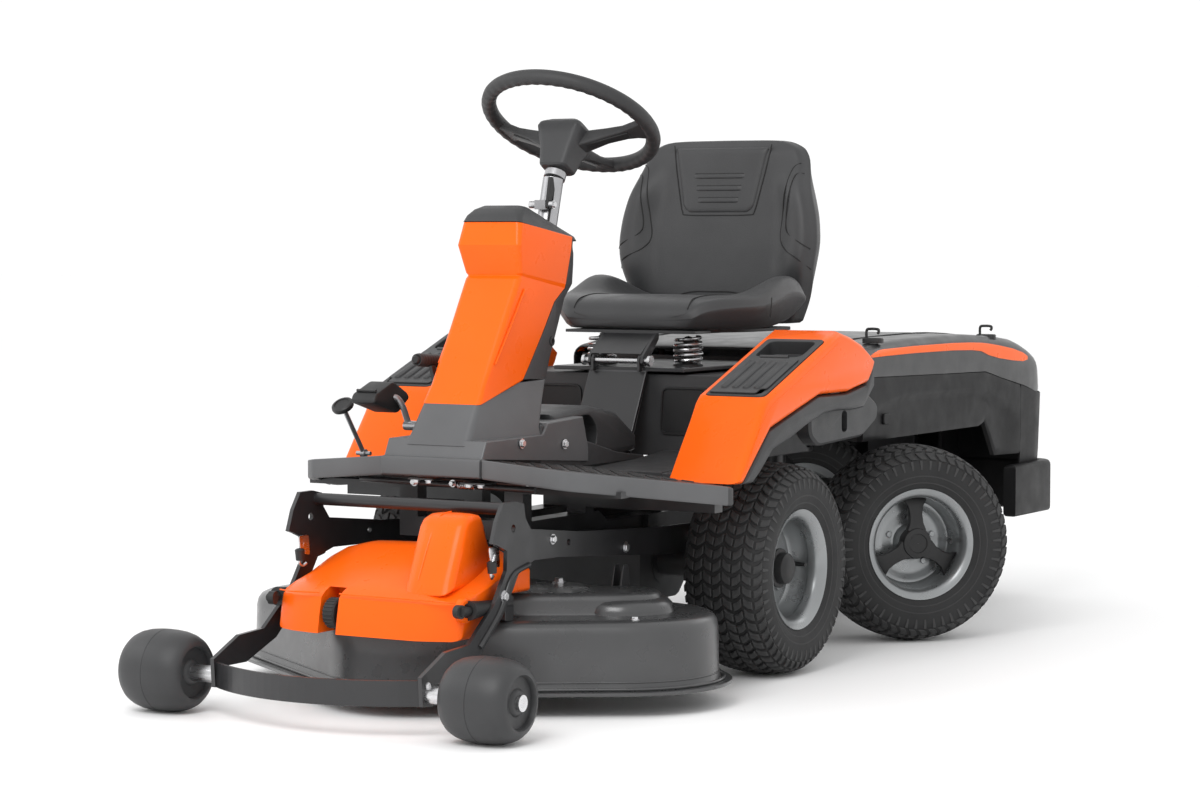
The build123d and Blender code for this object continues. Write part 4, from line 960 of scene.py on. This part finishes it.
# orange stripe wrapping the shoulder
rows = []
for y, za, zb in ((466, 600, 588), (560, 604, 590), (700, 606, 591), (900, 606, 590), (1000, 604, 587),
                  (1050, 602, 583), (1090, 599, 573), (1150, 593, 564), (1230, 583, 556), (1290, 572, 552),
                  (1318, 563, 555)):
    zt = lerp([(a, b) for a, b, c, d in HOODS], y)[0]
    w = lerp([(a, d) for a, b, c, d in HOODS], y)[0]
    r = 30.0
    ring = []
    for k in range(7):
        z = zb + (za - zb) * k / 6
        dz = z - (zt - r)
        x = w - r + math.sqrt(max(0.0, r * r - dz * dz)) if dz > 0 else w
        ring.append((x + 1.6, y, z))
    for k in range(6, -1, -1):
        p = ring[k]
        ring.append((p[0] - 4.0, y, p[2]))
    rows.append(ring)
v, f = loft(rows)
make("hood_stripe_bands", v, f, "orange_plastic", "hood", ["hood_stripes"], both=True, bevel=0.8, seg=2)
# strap hooks
parts = []
for hx, hy in ((318, 560), (318, 1150), (-318, 560), (-318, 1150)):
    top = 622 if hy < 1000 else 612.4
    s = [(hx - 14, hy, top - 4), (hx - 15, hy, top + 14), (hx - 13, hy, top + 22), (hx - 6, hy, top + 23.5),
         (hx + 6, hy, top + 23.5), (hx + 12.5, hy, top + 22), (hx + 13, hy, top + 17), (hx + 10.5, hy, top + 14)]
    parts.append(tube(curve(s, 5), 3.0, 10))
    q = rr(hx, hy, 44, 20, 7, 4)
    parts.append(loft([[(x, y, top - 6) for x, y in q], [(x, y, top + 3) for x, y in q],
                       [(x, y, top + 5) for x, y in inset(q, 2)]]))
v, f = join(*parts)
make("hood_strap_hooks", v, f, "black_plastic", "hood", ["hood_hooks"], sharp=45)

# side panels and rear cowl
TOP = [(462, 547.6), (1077, 535.6), (1275, 498.6)]
LOW = [(462, 416), (1060, 416), (1092, 424), (1150, 345), (1275, 342)]
CREASE = [(462, 468), (560, 492), (660, 506), (980, 502), (1080, 488), (1180, 458), (1275, 424)]
rings = []
for y in (462, 500, 540, 580, 620, 660, 720, 800, 880, 960, 1010, 1060, 1076, 1092, 1121, 1150, 1180, 1210, 1240,
          1277.5):
    zt, zb, zc = lerp(TOP, y)[0], lerp(LOW, y)[0], lerp(CREASE, y)[0]
    outer = []
    for k in range(21):
        z = zb + (zt - zb) * k / 20
        x = 350 - 7 * smooth((zc - z) / 12) * (1 - smooth((y - 1180) / 90)) - 1.5 * smooth((z - zt + 6) / 6) - 3 * smooth((zb + 8 - z) / 8)
        outer.append((x, y, z))
    rings.append(outer + [(330, y, zt), (330, y, zb)])
v, f = loft(rings)
make("side_panel_skins", v, f, "panel_plastic", "chassis", ["side_panels"], both=True,
     sharp=50)
v, f = box(-330, 330, 464, 469, 416, 586)
make("engine_bay_front", v, f, "black_plastic", "chassis", bevel=1.5)
parts = []
for sx in (-1, 1):
    for y in (570, 1230):
        q = rounded([(y - 17, 447), (y + 17, 447), (y + 17, 469), (y - 17, 469)], 7, 4)
        parts.append(loft([[(sx * 332, a, b) for a, b in q], [(sx * 346.5, a, b) for a, b in q],
                           [(sx * 348, a, b) for a, b in inset(q, 1.6)]]))
    parts.append(prism_x([(1285, 480), (1285, 506), (1350, 493), (1395, 483), (1395, 464), (1350, 470)], sx * 332,
                         sx * 335))
v, f = join(*parts)
make("side_panel_clips", v, f, "panel_plastic", "chassis", sharp=40)
cowl = [(317, 1415, 347, -1), (345, 1417, 349, -1), (380, 1421, 350, -1), (430, 1430, 350, -1), (474, 1436, 350, 1)]
HL = [(1250, 505), (1300, 496), (1350, 485), (1385, 477), (1404, 476), (1416, 477), (1427, 479), (1436, 483), (1442, 484)]
rings = []
for z, y, w, top in cowl:
    mid = 1416 + (y - 1416) * 0.5
    pts = [(w, 1278.5), (w, 1320), (w, 1360), (w - 3, 1392), (w - 8, mid - 14), (w - 17, mid), (w - 42, y), (160, y + 2)]
    lin = [(w - 4, 1278.5), (w - 4, 1320), (w - 4, 1360), (w - 7, 1390), (w - 12, mid - 17), (w - 20, mid - 4),
           (w - 44, y - 4), (160, y - 2)]
    ring = []
    for line in (pts, lin):
        half = [(px, py, lerp(HL, py)[0] - 1.5 if top > 0 else z) for px, py in line]
        full = half + [(-px, py, pz) for px, py, pz in reversed(half)]
        ring += full if line is pts else list(reversed(full))
    rings.append(ring)
v, f = loft(rings)
make("rear_cowl_skin", v, f, "panel_plastic", "chassis", ["rear_cowl"], sharp=40)

# bumper: a closed box section wrapped round the tail
outer = [(375, 1192), (375, 1398), (366, 1416), (352, 1432), (338, 1441), (300, 1442)]
outer += [(-x, y) for x, y in reversed(outer)]
inner = [(345, 1192), (345, 1385), (340, 1398), (330, 1408), (318, 1412), (290, 1412)]
inner += [(-x, y) for x, y in reversed(inner)]
ring2 = outer + list(reversed(inner))
rings = []
for z, d in ((203, 7), (204.2, 3.4), (208, 0.8), (213, 0), (309, 0), (314, 0.8), (318.2, 3.4), (320, 7)):
    rings.append([(x, y, z) for x, y in inset(ring2, d)])
v, f = loft(rings)
parts = [(v, f)]
for ax in (-143, 135):
    parts.append(prism_x([(1302, 469), (1396, 469), (1396, 330), (1435, 300), (1435, 236), (1302, 300)], ax, ax + 8))
v, f = join(*parts)
make("bumper_band", v, f, "panel_plastic", "chassis", ["rear_bumper"], sharp=40)

# ---------------------------------------------------------------- wheels
def profile_at(t, table):
    """(x, r, nx, nr) at arc length t along a list of (x, r) points."""
    run = 0.0
    for (x0, r0), (x1, r1) in zip(table, table[1:]):
        seg = math.hypot(x1 - x0, r1 - r0)
        if t <= run + seg or (x1, r1) == table[-1]:
            k = min(1.0, (t - run) / seg)
            tx, tr = (x1 - x0) / seg, (r1 - r0) / seg
            return x0 + (x1 - x0) * k, r0 + (r1 - r0) * k, -tr, tx
        run += seg


CARCASS = [(-66, 101.6), (-70, 110), (-73, 117), (-79, 126), (-83.4, 138), (-84.6, 150), (-84, 163), (-81, 174),
           (-76.5, 182), (-68, 188.6), (-54, 193.5), (-36, 196.6), (-18, 198), (0, 198.4), (18, 198), (36, 196.6),
           (54, 193.5), (68, 188.6), (76.5, 182), (81, 174), (84, 163), (84.6, 150), (83.4, 138), (79, 126),
           (73, 117), (70, 110), (66, 101.6)]
TREAD = [p for p in CARCASS if p[1] >= 173]
total = sum(math.hypot(b[0] - a[0], b[1] - a[1]) for a, b in zip(TREAD, TREAD[1:]))


def tyre_mesh():
    parts = [lathe(CARCASS + [(50, 101.6), (-50, 101.6)], 112, closed=True)]
    columns = 9
    rows = 52
    pitch = 2 * math.pi / rows
    for c in range(columns):
        t0 = total * (c + 0.09) / columns
        t1 = total * (c + 0.91) / columns
        for r in range(rows):
            a0 = pitch * (r + (0.5 if c % 2 else 0.0))
            skew = pitch * (0.42 if c % 2 else -0.42)
            spread = pitch * 0.62
            height = 4.9 if 0 < c < columns - 1 else 3.4
            low, high, mid = [], [], []
            zig = pitch * 0.16
            loop = [(0.0, 0.0), (0.5, zig / pitch), (1.0, 0.0), (1.0, 1.0), (0.5, 1.0 + zig / pitch), (0.0, 1.0)]
            for (s, q) in loop:
                t = t0 + (t1 - t0) * s
                a = a0 + skew * s + spread * q
                x, rad, nx, nr = profile_at(t, TREAD)
                low.append((x - nx * 1.0, (rad - nr * 1.0), a))
                mid.append((x + nx * height * 0.75, rad + nr * height * 0.75, a))
                tc = t0 + (t1 - t0) * (0.5 + (s - 0.5) * 0.84)
                ac = a0 + skew * (0.5 + (s - 0.5) * 0.84) + spread * (0.5 + (q - 0.5) * 0.84)
                x2, rad2, nx2, nr2 = profile_at(tc, TREAD)
                high.append((x2 + nx2 * height, min(203.4, rad2 + nr2 * height), ac))
            rings = [[(x, rad * math.cos(a), rad * math.sin(a)) for x, rad, a in lvl] for lvl in (low, mid, high)]
            parts.append(loft(rings, cap0=False))
    # shoulder ribs down the side wall and two fine rings
    for side in (-1, 1):
        for r in range(rows):
            a = pitch * (r + 0.25)
            rings = []
            for t, hw, hh in ((174, 0.20, 2.6), (165, 0.17, 2.2), (155, 0.12, 0.6)):
                x = lerp([(150, 84.6), (163, 84.0), (174, 81.0)], t)[0]
                rings.append([(side * (x + dx), (t) * math.cos(a + da), (t) * math.sin(a + da)) for dx, da in
                              ((-1.5, -hw * pitch), (min(hh, 84.9 - x + 0.05) if x + hh > 84.9 else hh, -hw * pitch * 0.7),
                               (min(hh, 84.9 - x + 0.05) if x + hh > 84.9 else hh, hw * pitch * 0.7),
                               (-1.5, hw * pitch))])
            parts.append(loft(rings))
        for rad in (128, 142):
            x = lerp([(117, 73), (126, 79), (138, 83.4), (150, 84.6)], rad)[0]
            parts.append(lathe([(side * (x - 1.5), rad - 2), (side * (x + 0.4), rad - 1), (side * (x + 0.4), rad + 1),
                                (side * (x - 1.0), rad + 2)], 96, closed=True))
    return join(*parts)


def mesh_from(name, verts, faces, sharp=38):
    o = raw(name, [Vector(p) / 1000.0 for p in verts], faces, local=True, sharp=sharp)
    me = o.data
    bpy.data.objects.remove(o)
    return me


tyre = mesh_from("tyre_mesh", *tyre_mesh())
RIM = [(72.5, 112), (74, 115), (70, 116.4), (66.2, 113), (66.2, 101.4), (-66.2, 101.4), (-66.2, 113), (-70, 116.4),
       (-74, 115), (-72, 111), (-68, 99), (-56, 97), (-20, 94), (-8, 88), (-4, 60), (-4, 34), (-40, 30), (-100, 26),
       (-100, 12.6), (27, 12.6), (28, 30), (22, 35), (9, 38), (7, 44), (8.5, 60), (8, 70), (4, 78), (5, 86), (12, 91),
       (24, 93.6), (30, 97), (40, 97.2), (44, 94.6), (56, 95.4), (64, 98.4), (70, 105)]
rim_parts = [lathe(RIM, 128, closed=True)]
for k in range(5):
    a = 2 * math.pi * k / 5 + 0.3
    rim_parts.append(bolt((6, 50 * math.cos(a), 50 * math.sin(a)), (1, 0, 0), 6.5, 8))
rim = mesh_from("rim_mesh", *join(*rim_parts), sharp=34)
shaft = mesh_from("shaft_mesh", *join(lathe([(-230, 0.5), (-230, 12.5), (34, 12.5), (34, 0.5)], 40, closed=True),
                                      lathe([(-116, 12), (-116, 26), (-112, 26), (-112, 12)], 40, closed=True)), sharp=30)
front_cap = mesh_from("front_cap_mesh", *join(
    lathe([(24, 22), (24, 30), (40, 31), (47, 29), (52, 22), (54, 14), (54, 0.4)], 48),
    lathe([(27, 24), (27, 38), (31, 38), (33, 35), (33, 24)], 48, closed=True)), sharp=34)


def rear_cap():
    parts = [lathe([(24, 22), (24, 31), (44, 33), (54, 30), (57.4, 20), (55.6, 19), (55.6, 0.4)], 56)]
    for k in range(3):
        a = 2 * math.pi * k / 3 - math.pi / 6
        rings = []
        for r, w, x0, x1 in ((26, 21, 34, 51), (42, 15, 33, 49), (60, 14, 31, 45), (76, 17, 29, 42), (88, 25, 28, 39),
                             (93, 28, 29, 36)):
            pts = rounded([(-w, x0), (w, x0), (w, x1), (-w, x1)], 3.5, 3)
            rings.append([(x, r * math.cos(a) - s * math.sin(a), r * math.sin(a) + s * math.cos(a)) for s, x in pts])
        parts.append(loft(rings))
    return join(*parts)


rear_cap_mesh = mesh_from("rear_cap_mesh", *rear_cap(), sharp=34)
valve = mesh_from("valve_mesh", *tube([(20, 84, 0), (34, 80, 0), (46, 77, 0)], 4, 14, radii=[5, 4, 3.4]))
Tm = Matrix.Translation
turn = Tm(M((0, PIVOT_Y, 0))) @ Matrix.Rotation(STEER, 4, "Z") @ Tm(-M((0, PIVOT_Y, 0)))
Z180 = Matrix.Rotation(math.pi, 4, "Z")
for corner, spot in (
        ("front_left", Tm(M((360, 0, 203.5)))),
        ("front_right", Tm(M((-360, 0, 203.5))) @ Z180),
        ("rear_left", turn @ Tm(M((360, 887, 203.5)))),
        ("rear_right", turn @ Tm(M((-360, 887, 203.5))) @ Z180)):
    items = [("tyre", tyre, "tyre_rubber", ["tyre_" + corner]), ("rim", rim, "silver_paint", ["rim_" + corner]),
             ("axle_shaft", shaft, "zinc_steel", []), ("valve", valve, "black_plastic", []),
             ("hubcap", rear_cap_mesh if corner.startswith("rear") else front_cap, "black_plastic", [])]
    for label, me, mat, reps in items:
        o = bpy.data.objects.new("%s_%s_detail" % (label, corner), me.copy())
        bpy.context.scene.collection.objects.link(o)
        o.matrix_world = spot
        finish_object(o, mat, "wheel_" + corner, reps)

# ---------------------------------------------------------------- lift frame details and rollers
ROLL = [(-67, 47), (-66.4, 51), (-63, 57), (-56, 63), (-46, 67.6), (-32, 71), (-16, 72.6), (-1.2, 73), (0, 72), (1.2, 73),
        (16, 72.6), (32, 71), (46, 67.6), (56, 63), (63, 57), (66.4, 51), (67, 47), (64, 45), (57, 44), (56, 24), (60, 21),
        (62, 18), (62, 8.2), (-62, 8.2), (-62, 18), (-60, 21), (-56, 24), (-57, 44), (-64, 45)]
for side, word in ((1, "left"), (-1, "right")):
    turned("roller_%s_body" % word, ROLL, (side * 338, -954, 73), (1, 0, 0), "dark_plastic", "roller_" + word,
           ["roller_" + word], segments=96, sharp=40)
    v, f = join(bolt((side * 400.4, -954, 73), (side, 0, 0), 10, 7),
                bolt((side * 222, -722, 214), (side, 0, 0), 8, 7),
                bolt((side * 222, -560, 300), (side, 0, 0), 7, 6),
                bolt((side * 222, -300, 262), (side, 0, 0), 8, 6),
                bolt((side * 222, -960, 88), (side, 0, 0), 5, 4))
    make("lift_bolts_%s" % word, v, f, "zinc_steel", "lift_frame", sharp=30)
    # pressed rib down the arm
    rib = curve([(side * 222.4, -640, 262), (side * 222.4, -694, 246), (side * 222.4, -734, 190),
                 (side * 222.4, -800, 134)], 8)
    v, f = tube(rib, 5, 12)
    make("lift_rib_%s" % word, v, f, "frame_steel", "lift_frame")
    # latch plate with its wire hook
    v, f = prism_x(rounded([(-742, 300), (-712, 300), (-708, 262), (-736, 268)], 6, 3), side * 203, side * 206)
    make("latch_plate_%s" % word, v, f, "zinc_steel", "lift_frame", bevel=0.6, seg=2)
    v, f = tube(curve([(side * 205, -726, 286), (side * 206, -735, 266), (side * 205.5, -738, 251),
                       (side * 203, -731, 245), (side * 200.5, -723, 249)], 7), 2.6, 10)
    make("latch_wire_%s" % word, v, f, "zinc_steel", "lift_frame")
    turned("latch_boot_%s" % word, [(-11, 4), (-11, 8), (8, 9), (10, 6), (10, 4)], (side * 206, -735, 266),
           (0, -0.1, 1), "black_plastic", "lift_frame", segments=24)

# ---------------------------------------------------------------- cutting deck
SPIN = [(305.0, -450.0), (0.0, -650.0), (-305.0, -450.0)]
HULL = [(-399, -594), (-94, -794), (94, -794), (399, -594), (305, -450), (305, -300), (-305, -300), (-305, -450)]


def seg_dist(px, py, a, b):
    dx, dy = b[0] - a[0], b[1] - a[1]
    t = max(0.0, min(1.0, ((px - a[0]) * dx + (py - a[1]) * dy) / (dx * dx + dy * dy)))
    return math.hypot(px - a[0] - t * dx, py - a[1] - t * dy)


def hull_sdf(px, py):
    d = min(seg_dist(px, py, HULL[i - 1], HULL[i]) for i in range(len(HULL)))
    inside = False
    for i in range(len(HULL)):
        (x0, y0), (x1, y1) = HULL[i - 1], HULL[i]
        if (y0 > py) != (y1 > py) and px < (x1 - x0) * (py - y0) / (y1 - y0) + x0:
            inside = not inside
    return -d if inside else d


def deck_sdf(px, py):
    return min(min(math.hypot(px - cx, py - cy) - 172 for cx, cy in SPIN), hull_sdf(px, py))


def belt_sdf(px, py):
    return min(seg_dist(px, py, SPIN[0], SPIN[1]), seg_dist(px, py, SPIN[1], SPIN[2])) - 72


def level(sdf, grow, centre, n=216, far=620.0):
    pts = []
    for k in range(n):
        a = 2 * math.pi * k / n
        ca, sa = math.cos(a), math.sin(a)
        lo, hi = 0.0, far
        step = far
        r = far
        while r > 0 and sdf(centre[0] + ca * r, centre[1] + sa * r) > grow:
            r -= max(1.0, (sdf(centre[0] + ca * r, centre[1] + sa * r) - grow) * 0.6)
        lo, hi = max(r, 0.0), min(far, r + 3.0)
        for _ in range(12):
            mid = (lo + hi) / 2
            if sdf(centre[0] + ca * mid, centre[1] + sa * mid) > grow:
                hi = mid
            else:
                lo = mid
        pts.append((centre[0] + ca * lo, centre[1] + sa * lo))
    return pts


CEN = (0.0, -500.0)
cache = {}


def deck_ring(z, grow):
    if grow not in cache:
        cache[grow] = level(deck_sdf, grow, CEN)
    return [(x, y, z) for x, y in cache[grow]]


rings = [deck_ring(162, -22), deck_ring(150, -6), deck_ring(60, -4), deck_ring(39, -4), deck_ring(39, 24),
         deck_ring(41, 25), deck_ring(45, 24), deck_ring(46, 12), deck_ring(47, 6), deck_ring(51, 2.4),
         deck_ring(62, 0.6), deck_ring(100, 0), deck_ring(140, -1), deck_ring(153, -4), deck_ring(161, -10),
         deck_ring(165, -19), deck_ring(166.4, -34)]
v, f = loft(rings)
make("deck_body", v, f, "deck_steel", "deck", ["deck_shell"], sharp=48)
# pressed beads round the skirt
v, f = tube([(x, y, 49) for x, y, z in deck_ring(49, 10)], 3.0, 8, closed=True)
make("deck_rim_bead", v, f, "deck_steel", "deck")
v, f = tube([(x, y, 60) for x, y, z in deck_ring(60, 0.4)], 1.8, 8, closed=True)
make("deck_skirt_bead", v, f, "deck_steel", "deck")


def belt_outline_at(grow):
    """Capsules between the spindles, walked round by angle from one centre."""
    return level(lambda px, py: min(belt_sdf(px, py), seg_dist(px, py, (-150, -470), (150, -470)) - 90), grow,
                 (0.0, -545.0))


for_belt = [(166, 3), (170, 0), (190, -2), (198, -5), (202.5, -11), (204, -20)]
v, f = loft([[(x, y, z) for x, y in belt_outline_at(g)] for z, g in for_belt])
make("deck_belt_cover", v, f, "deck_steel", "deck", sharp=48)
for i, (cx, cy) in enumerate(SPIN):
    name = ("left", "centre", "right")[i]
    if name != "centre":
        turned("deck_dome_" + name, [(0, 92), (6, 91), (16, 88), (24, 80), (28, 66), (28, 0.5), (0, 0.5)], (cx, cy, 165),
               (0, 0, 1), "deck_steel", "deck", closed=True, segments=80, sharp=50)
    parts = []
    for k in range(4):
        a = math.pi / 4 + k * math.pi / 2
        if name != "centre":
            parts.append(bolt((cx + 52 * math.cos(a), cy + 52 * math.sin(a), 193), (0, 0, 1), 6, 6))
    if parts:
        v, f = join(*parts)
        make("deck_dome_bolts_" + name, v, f, "zinc_steel", "deck", sharp=30)
v, f = join(bolt((150, -420, 204), (0, 0, 1), 9, 9), bolt((-150, -420, 204), (0, 0, 1), 9, 9),
            bolt((392, -560, 166), (0, 0, 1), 6, 6), bolt((-392, -560, 166), (0, 0, 1), 6, 6))
make("deck_top_bolts", v, f, "zinc_steel", "deck", sharp=30)
# shafts with cone housings at the sides of the cover
for side, word in ((1, "left"), (-1, "right")):
    turned("deck_cone_" + word, [(0, 9), (0, 17), (34, 14), (84, 11), (90, 11), (90, 9)], (side * 204, -806, 197),
           (0, 1, -0.01), "black_plastic", "deck", segments=32)
    v, f = prism_x(rounded([(-700, 166), (-672, 166), (-672, 211), (-700, 211)], 6, 3), side * 198, side * 211)
    make("deck_lug_" + word, v, f, "frame_steel", "deck", bevel=1.2)
    v, f = join(tube([(side * 204, -830, 197), (side * 204, -676, 195)], 8, 20),
                tube([(side * 204, -828, 197), (side * 193, -826, 197)], 12, 20))
    make("deck_shaft_" + word, v, f, "black_plastic", "deck", sharp=40)
# hangers behind the lobes
parts = []
for side in (-1, 1):
    parts.append(prism_x([(-380, 166), (-332, 166), (-346, 236), (-362, 236)], side * 232, side * 236))
    parts.append(prism_x([(-380, 166), (-332, 166), (-346, 236), (-362, 236)], side * 250, side * 254))
v, f = join(*parts)
make("deck_hangers", v, f, "frame_steel", "deck", bevel=1.0, seg=2)

# orange cover
COVER = [(-846, 143), (-841, 172), (-834, 206), (-822, 216), (-785, 233), (-725, 261), (-675, 285), (-663, 289),
         (-640, 289), (-597, 285), (-585, 281), (-585, 240), (-585, 212), (-700, 212), (-722, 182), (-745, 152),
         (-770, 143)]
rings = []
for x, d in ((-195, 9), (-193, 5), (-188, 1.6), (-180, 0), (-150, 0), (-100, 0), (-40, 0), (0, 0), (60, 0), (120, 0),
             (160, 0), (180, 0), (188, 1.6), (193, 5), (195, 9)):
    ring = []
    for y, z in inset(COVER, d):
        k = smooth((abs(x) - 118) / 77.0)
        crown = 6 * math.cos(x / 195 * math.pi / 2)
        if y < -780:
            y += 26 * k * (1 if y < -815 else 0.6)
        if z > 212 and y > -840:
            z += crown - 5 - 26 * k * smooth((z - 216) / 60)
        ring.append((x, y, z))
    rings.append(ring)
v, f = loft(rings)
notch = raw("cut_notch", *prism_x(rounded([(-870, 120), (-780, 120), (-780, 222), (-870, 222)], 8, 3), -87, -49))
make("deck_cover_shell", v, f, "orange_plastic", "deck", ["deck_cover"], bevel=2.5, cutters=[notch])
HUMP = [(-812, 218), (-799, 246), (-780, 290), (-760, 336), (-748, 349), (-730, 354.6), (-712, 354.6), (-698, 352),
        (-688, 334), (-680, 312), (-673, 298), (-673, 262), (-690, 236), (-740, 226)]
rings = []
for x, d in ((66, 14), (70, 6), (78, 1.5), (90, 0), (120, -0.5), (146, 0), (156, 1.5), (162, 6), (165, 13)):
    rings.append([(x + (0 if x < 80 else 0), y, z) for y, z in inset(HUMP, d)])
v, f = loft(rings)
make("deck_cover_hump", v, f, "orange_plastic", "deck", bevel=3.0)
v, f = join(tube(curve([(96, -800, 243), (100, -770, 312), (104, -746, 349), (106, -712, 356)], 6), 1.6, 8),
            tube(curve([(-186, -822, 212), (-150, -838, 213), (-90, -837, 214)], 5), 1.4, 8),
            tube(curve([(-46, -837, 214), (60, -837, 214), (150, -834, 213), (186, -818, 210)], 5), 1.4, 8))
make("deck_cover_folds", v, f, "orange_plastic", "deck")
turned("deck_cover_boss", [(-6, 13), (-6, 22), (4, 22), (6, 19), (6, 13)], (196, -808, 197), (1, 0, 0),
       "orange_plastic", "deck", segments=40)
# thumbwheel with grip teeth
parts = [lathe([(-12, 8), (-12, 24), (-10, 26), (10, 26), (12, 24), (12, 8)], 72, closed=True)]
for k in range(24):
    a = 2 * math.pi * k / 24
    s = tube([(-10, 26 * math.cos(a), 26 * math.sin(a)), (10, 26 * math.cos(a), 26 * math.sin(a))], 1.6, 8)
    parts.append(s)
v, f = join(*parts)
make("thumbwheel", [(x - 68, y - 817, z + 177) for x, y, z in v], f, "black_plastic", "height_knob",
     ["height_knob"], sharp=40)
v, f = tube([(-93, -817, 177), (-43, -817, 177)], 4, 16)
make("thumbwheel_axle", v, f, "zinc_steel", "height_knob")

# ---------------------------------------------------------------- pedals and lever
wedge = rounded([(-566, 532), (-486, 509), (-447, 536), (-453, 546), (-500, 570), (-558, 548)], 7, 3)
rings = []
for x, d in ((-215, 4), (-213, 1), (-209, 0), (-166, 0), (-162, 1), (-160, 4)):
    rings.append([(x, y, z) for y, z in inset(wedge, d)])
v, f = loft(rings)
rv, rf = join(tube(curve([(-166, -500, 541), (-158, -492, 537), (-152, -484, 522), (-150, -474, 500), (-148, -470, 486)],
                         5), 6, 16), tube([(-156, -470, 486), (-106, -470, 486)], 9, 20),
              tube([(-106, -470, 486), (-90, -470, 486)], 5, 16))
make("drive_pedal_rod", rv, rf, "column_metal", "drive_pedal", sharp=40)
parts = [(v, f)]
for k in range(5):
    z0 = -552 + k * 20
    parts.append(tube([(-209, z0 + 2, 556 - abs(k - 2) * 1.0), (-166, z0 + 2, 556 - abs(k - 2) * 1.0)], 2.6, 8))
v, f = join(*parts)
make("drive_pedal_body", v, f, "black_plastic", "drive_pedal", ["drive_pedal"], sharp=40)
direction = Vector((0, -73, 98)).normalized()
parts = [tube(curve([(-300, -401, 425), (-300, -416, 446), (-300, -444, 484), (-300, -466, 514)], 5), 4.5, 14),
         tube([(-316, -400, 424), (-284, -400, 424)], 4, 14), tube([(-305, -400, 424), (-295, -400, 424)], 8, 18)]
v, f = join(*parts)
make("brake_pedal_rod", v, f, "column_metal", "brake_pedal", ["brake_pedal"], sharp=40)
turned("brake_pedal_pad", [(-2, 0.5), (-2, 17), (0, 21), (4, 22), (8, 21), (10, 18), (10, 15), (8.5, 14.4), (8.5, 0.5)],
       (-300, -466, 515), direction, "black_plastic", "brake_pedal", closed=False, segments=40)
v, f = join(prism_x([(-460, 510), (-440, 510), (-440, 530), (-474, 600), (-488, 600), (-462, 530)], -92, -84),
            tube([(-84, -450, 520), (-81, -450, 520)], 11, 24))
make("lift_lever_arm", v, f, "frame_steel", "lift_lever", bevel=1.2, seg=2)
pts = [(-96, -520 + 86 * k / 30, 612 - 6 * k / 30) for k in range(31)]
radii = [11.0 + (1.5 if k > 2 else 0.6 * k) - (0.9 if k % 3 == 1 else 0) for k in range(31)]
radii[-1] = 7.5
v, f = tube(pts, 12, 24, radii=radii)
hole = raw("cut_button", *tube([(-96, -530, 612.7), (-96, -504, 611)], 8.6, 24))
make("lift_lever_grip", v, f, "grip_plastic", "lift_lever", ["lift_lever"], sharp=50, cutters=[hole])
v, f = tube([(-96, -526, 612.4), (-96, -524, 612.3), (-96, -512, 611.45)], 7.8, 24, radii=[6.2, 7.8, 7.8])
make("lever_button", v, f, "black_plastic", "lift_lever_button", ["lift_lever_button"], sharp=45)

# ---------------------------------------------------------------- floor, light and camera
floor_mat = bpy.data.materials.new("studio_floor")
floor_mat.use_nodes = True
fb = floor_mat.node_tree.nodes["Principled BSDF"]
fb.inputs["Base Color"].default_value = (0.95, 0.95, 0.95, 1)
fb.inputs["Roughness"].default_value = 0.6
me = bpy.data.meshes.new("floor")
me.from_pydata([(-40, -40, 0), (40, -40, 0), (40, 40, 0), (-40, 40, 0)], [], [(0, 1, 2, 3)])
me.materials.append(floor_mat)
floor = bpy.data.objects.new("studio_floor", me)
bpy.context.scene.collection.objects.link(floor)

world = bpy.data.worlds.new("studio")
bpy.context.scene.world = world
world.use_nodes = True
world.node_tree.nodes["Background"].inputs["Color"].default_value = (1, 1, 1, 1)
world.node_tree.nodes["Background"].inputs["Strength"].default_value = 1.06
bpy.context.scene.view_settings.view_transform = "Standard"
bpy.context.scene.view_settings.look = "None"


def area(name, loc, target, size, power):
    light = bpy.data.lights.new(name, "AREA")
    light.shape = "RECTANGLE"
    light.size = size[0]
    light.size_y = size[1]
    light.energy = power
    o = bpy.data.objects.new(name, light)
    bpy.context.scene.collection.objects.link(o)
    o.location = loc
    o.rotation_euler = (Vector(target) - Vector(loc)).to_track_quat("-Z", "Y").to_euler()


area("key", (0.5, -3.9, 3.3), (0, -0.5, 0.4), (2.2, 1.8), 85)
area("fill", (-3.2, -2.0, 2.2), (0, 0, 0.5), (2.2, 1.6), 16)
area("rim", (1.6, 3.4, 2.6), (0, 0, 0.6), (2.4, 1.2), 7)

cam_data = bpy.data.cameras.new("camera")
cam_data.lens = 90.22
cam_data.sensor_width = 36.0
cam = bpy.data.objects.new("camera", cam_data)
bpy.context.scene.collection.objects.link(cam)
cam.location = (2.98086, -5.32133, 0.84811)
cam.rotation_euler = Vector((-0.50856157, 0.8592162, -0.05579121)).to_track_quat("-Z", "Y").to_euler()
bpy.context.scene.camera = cam
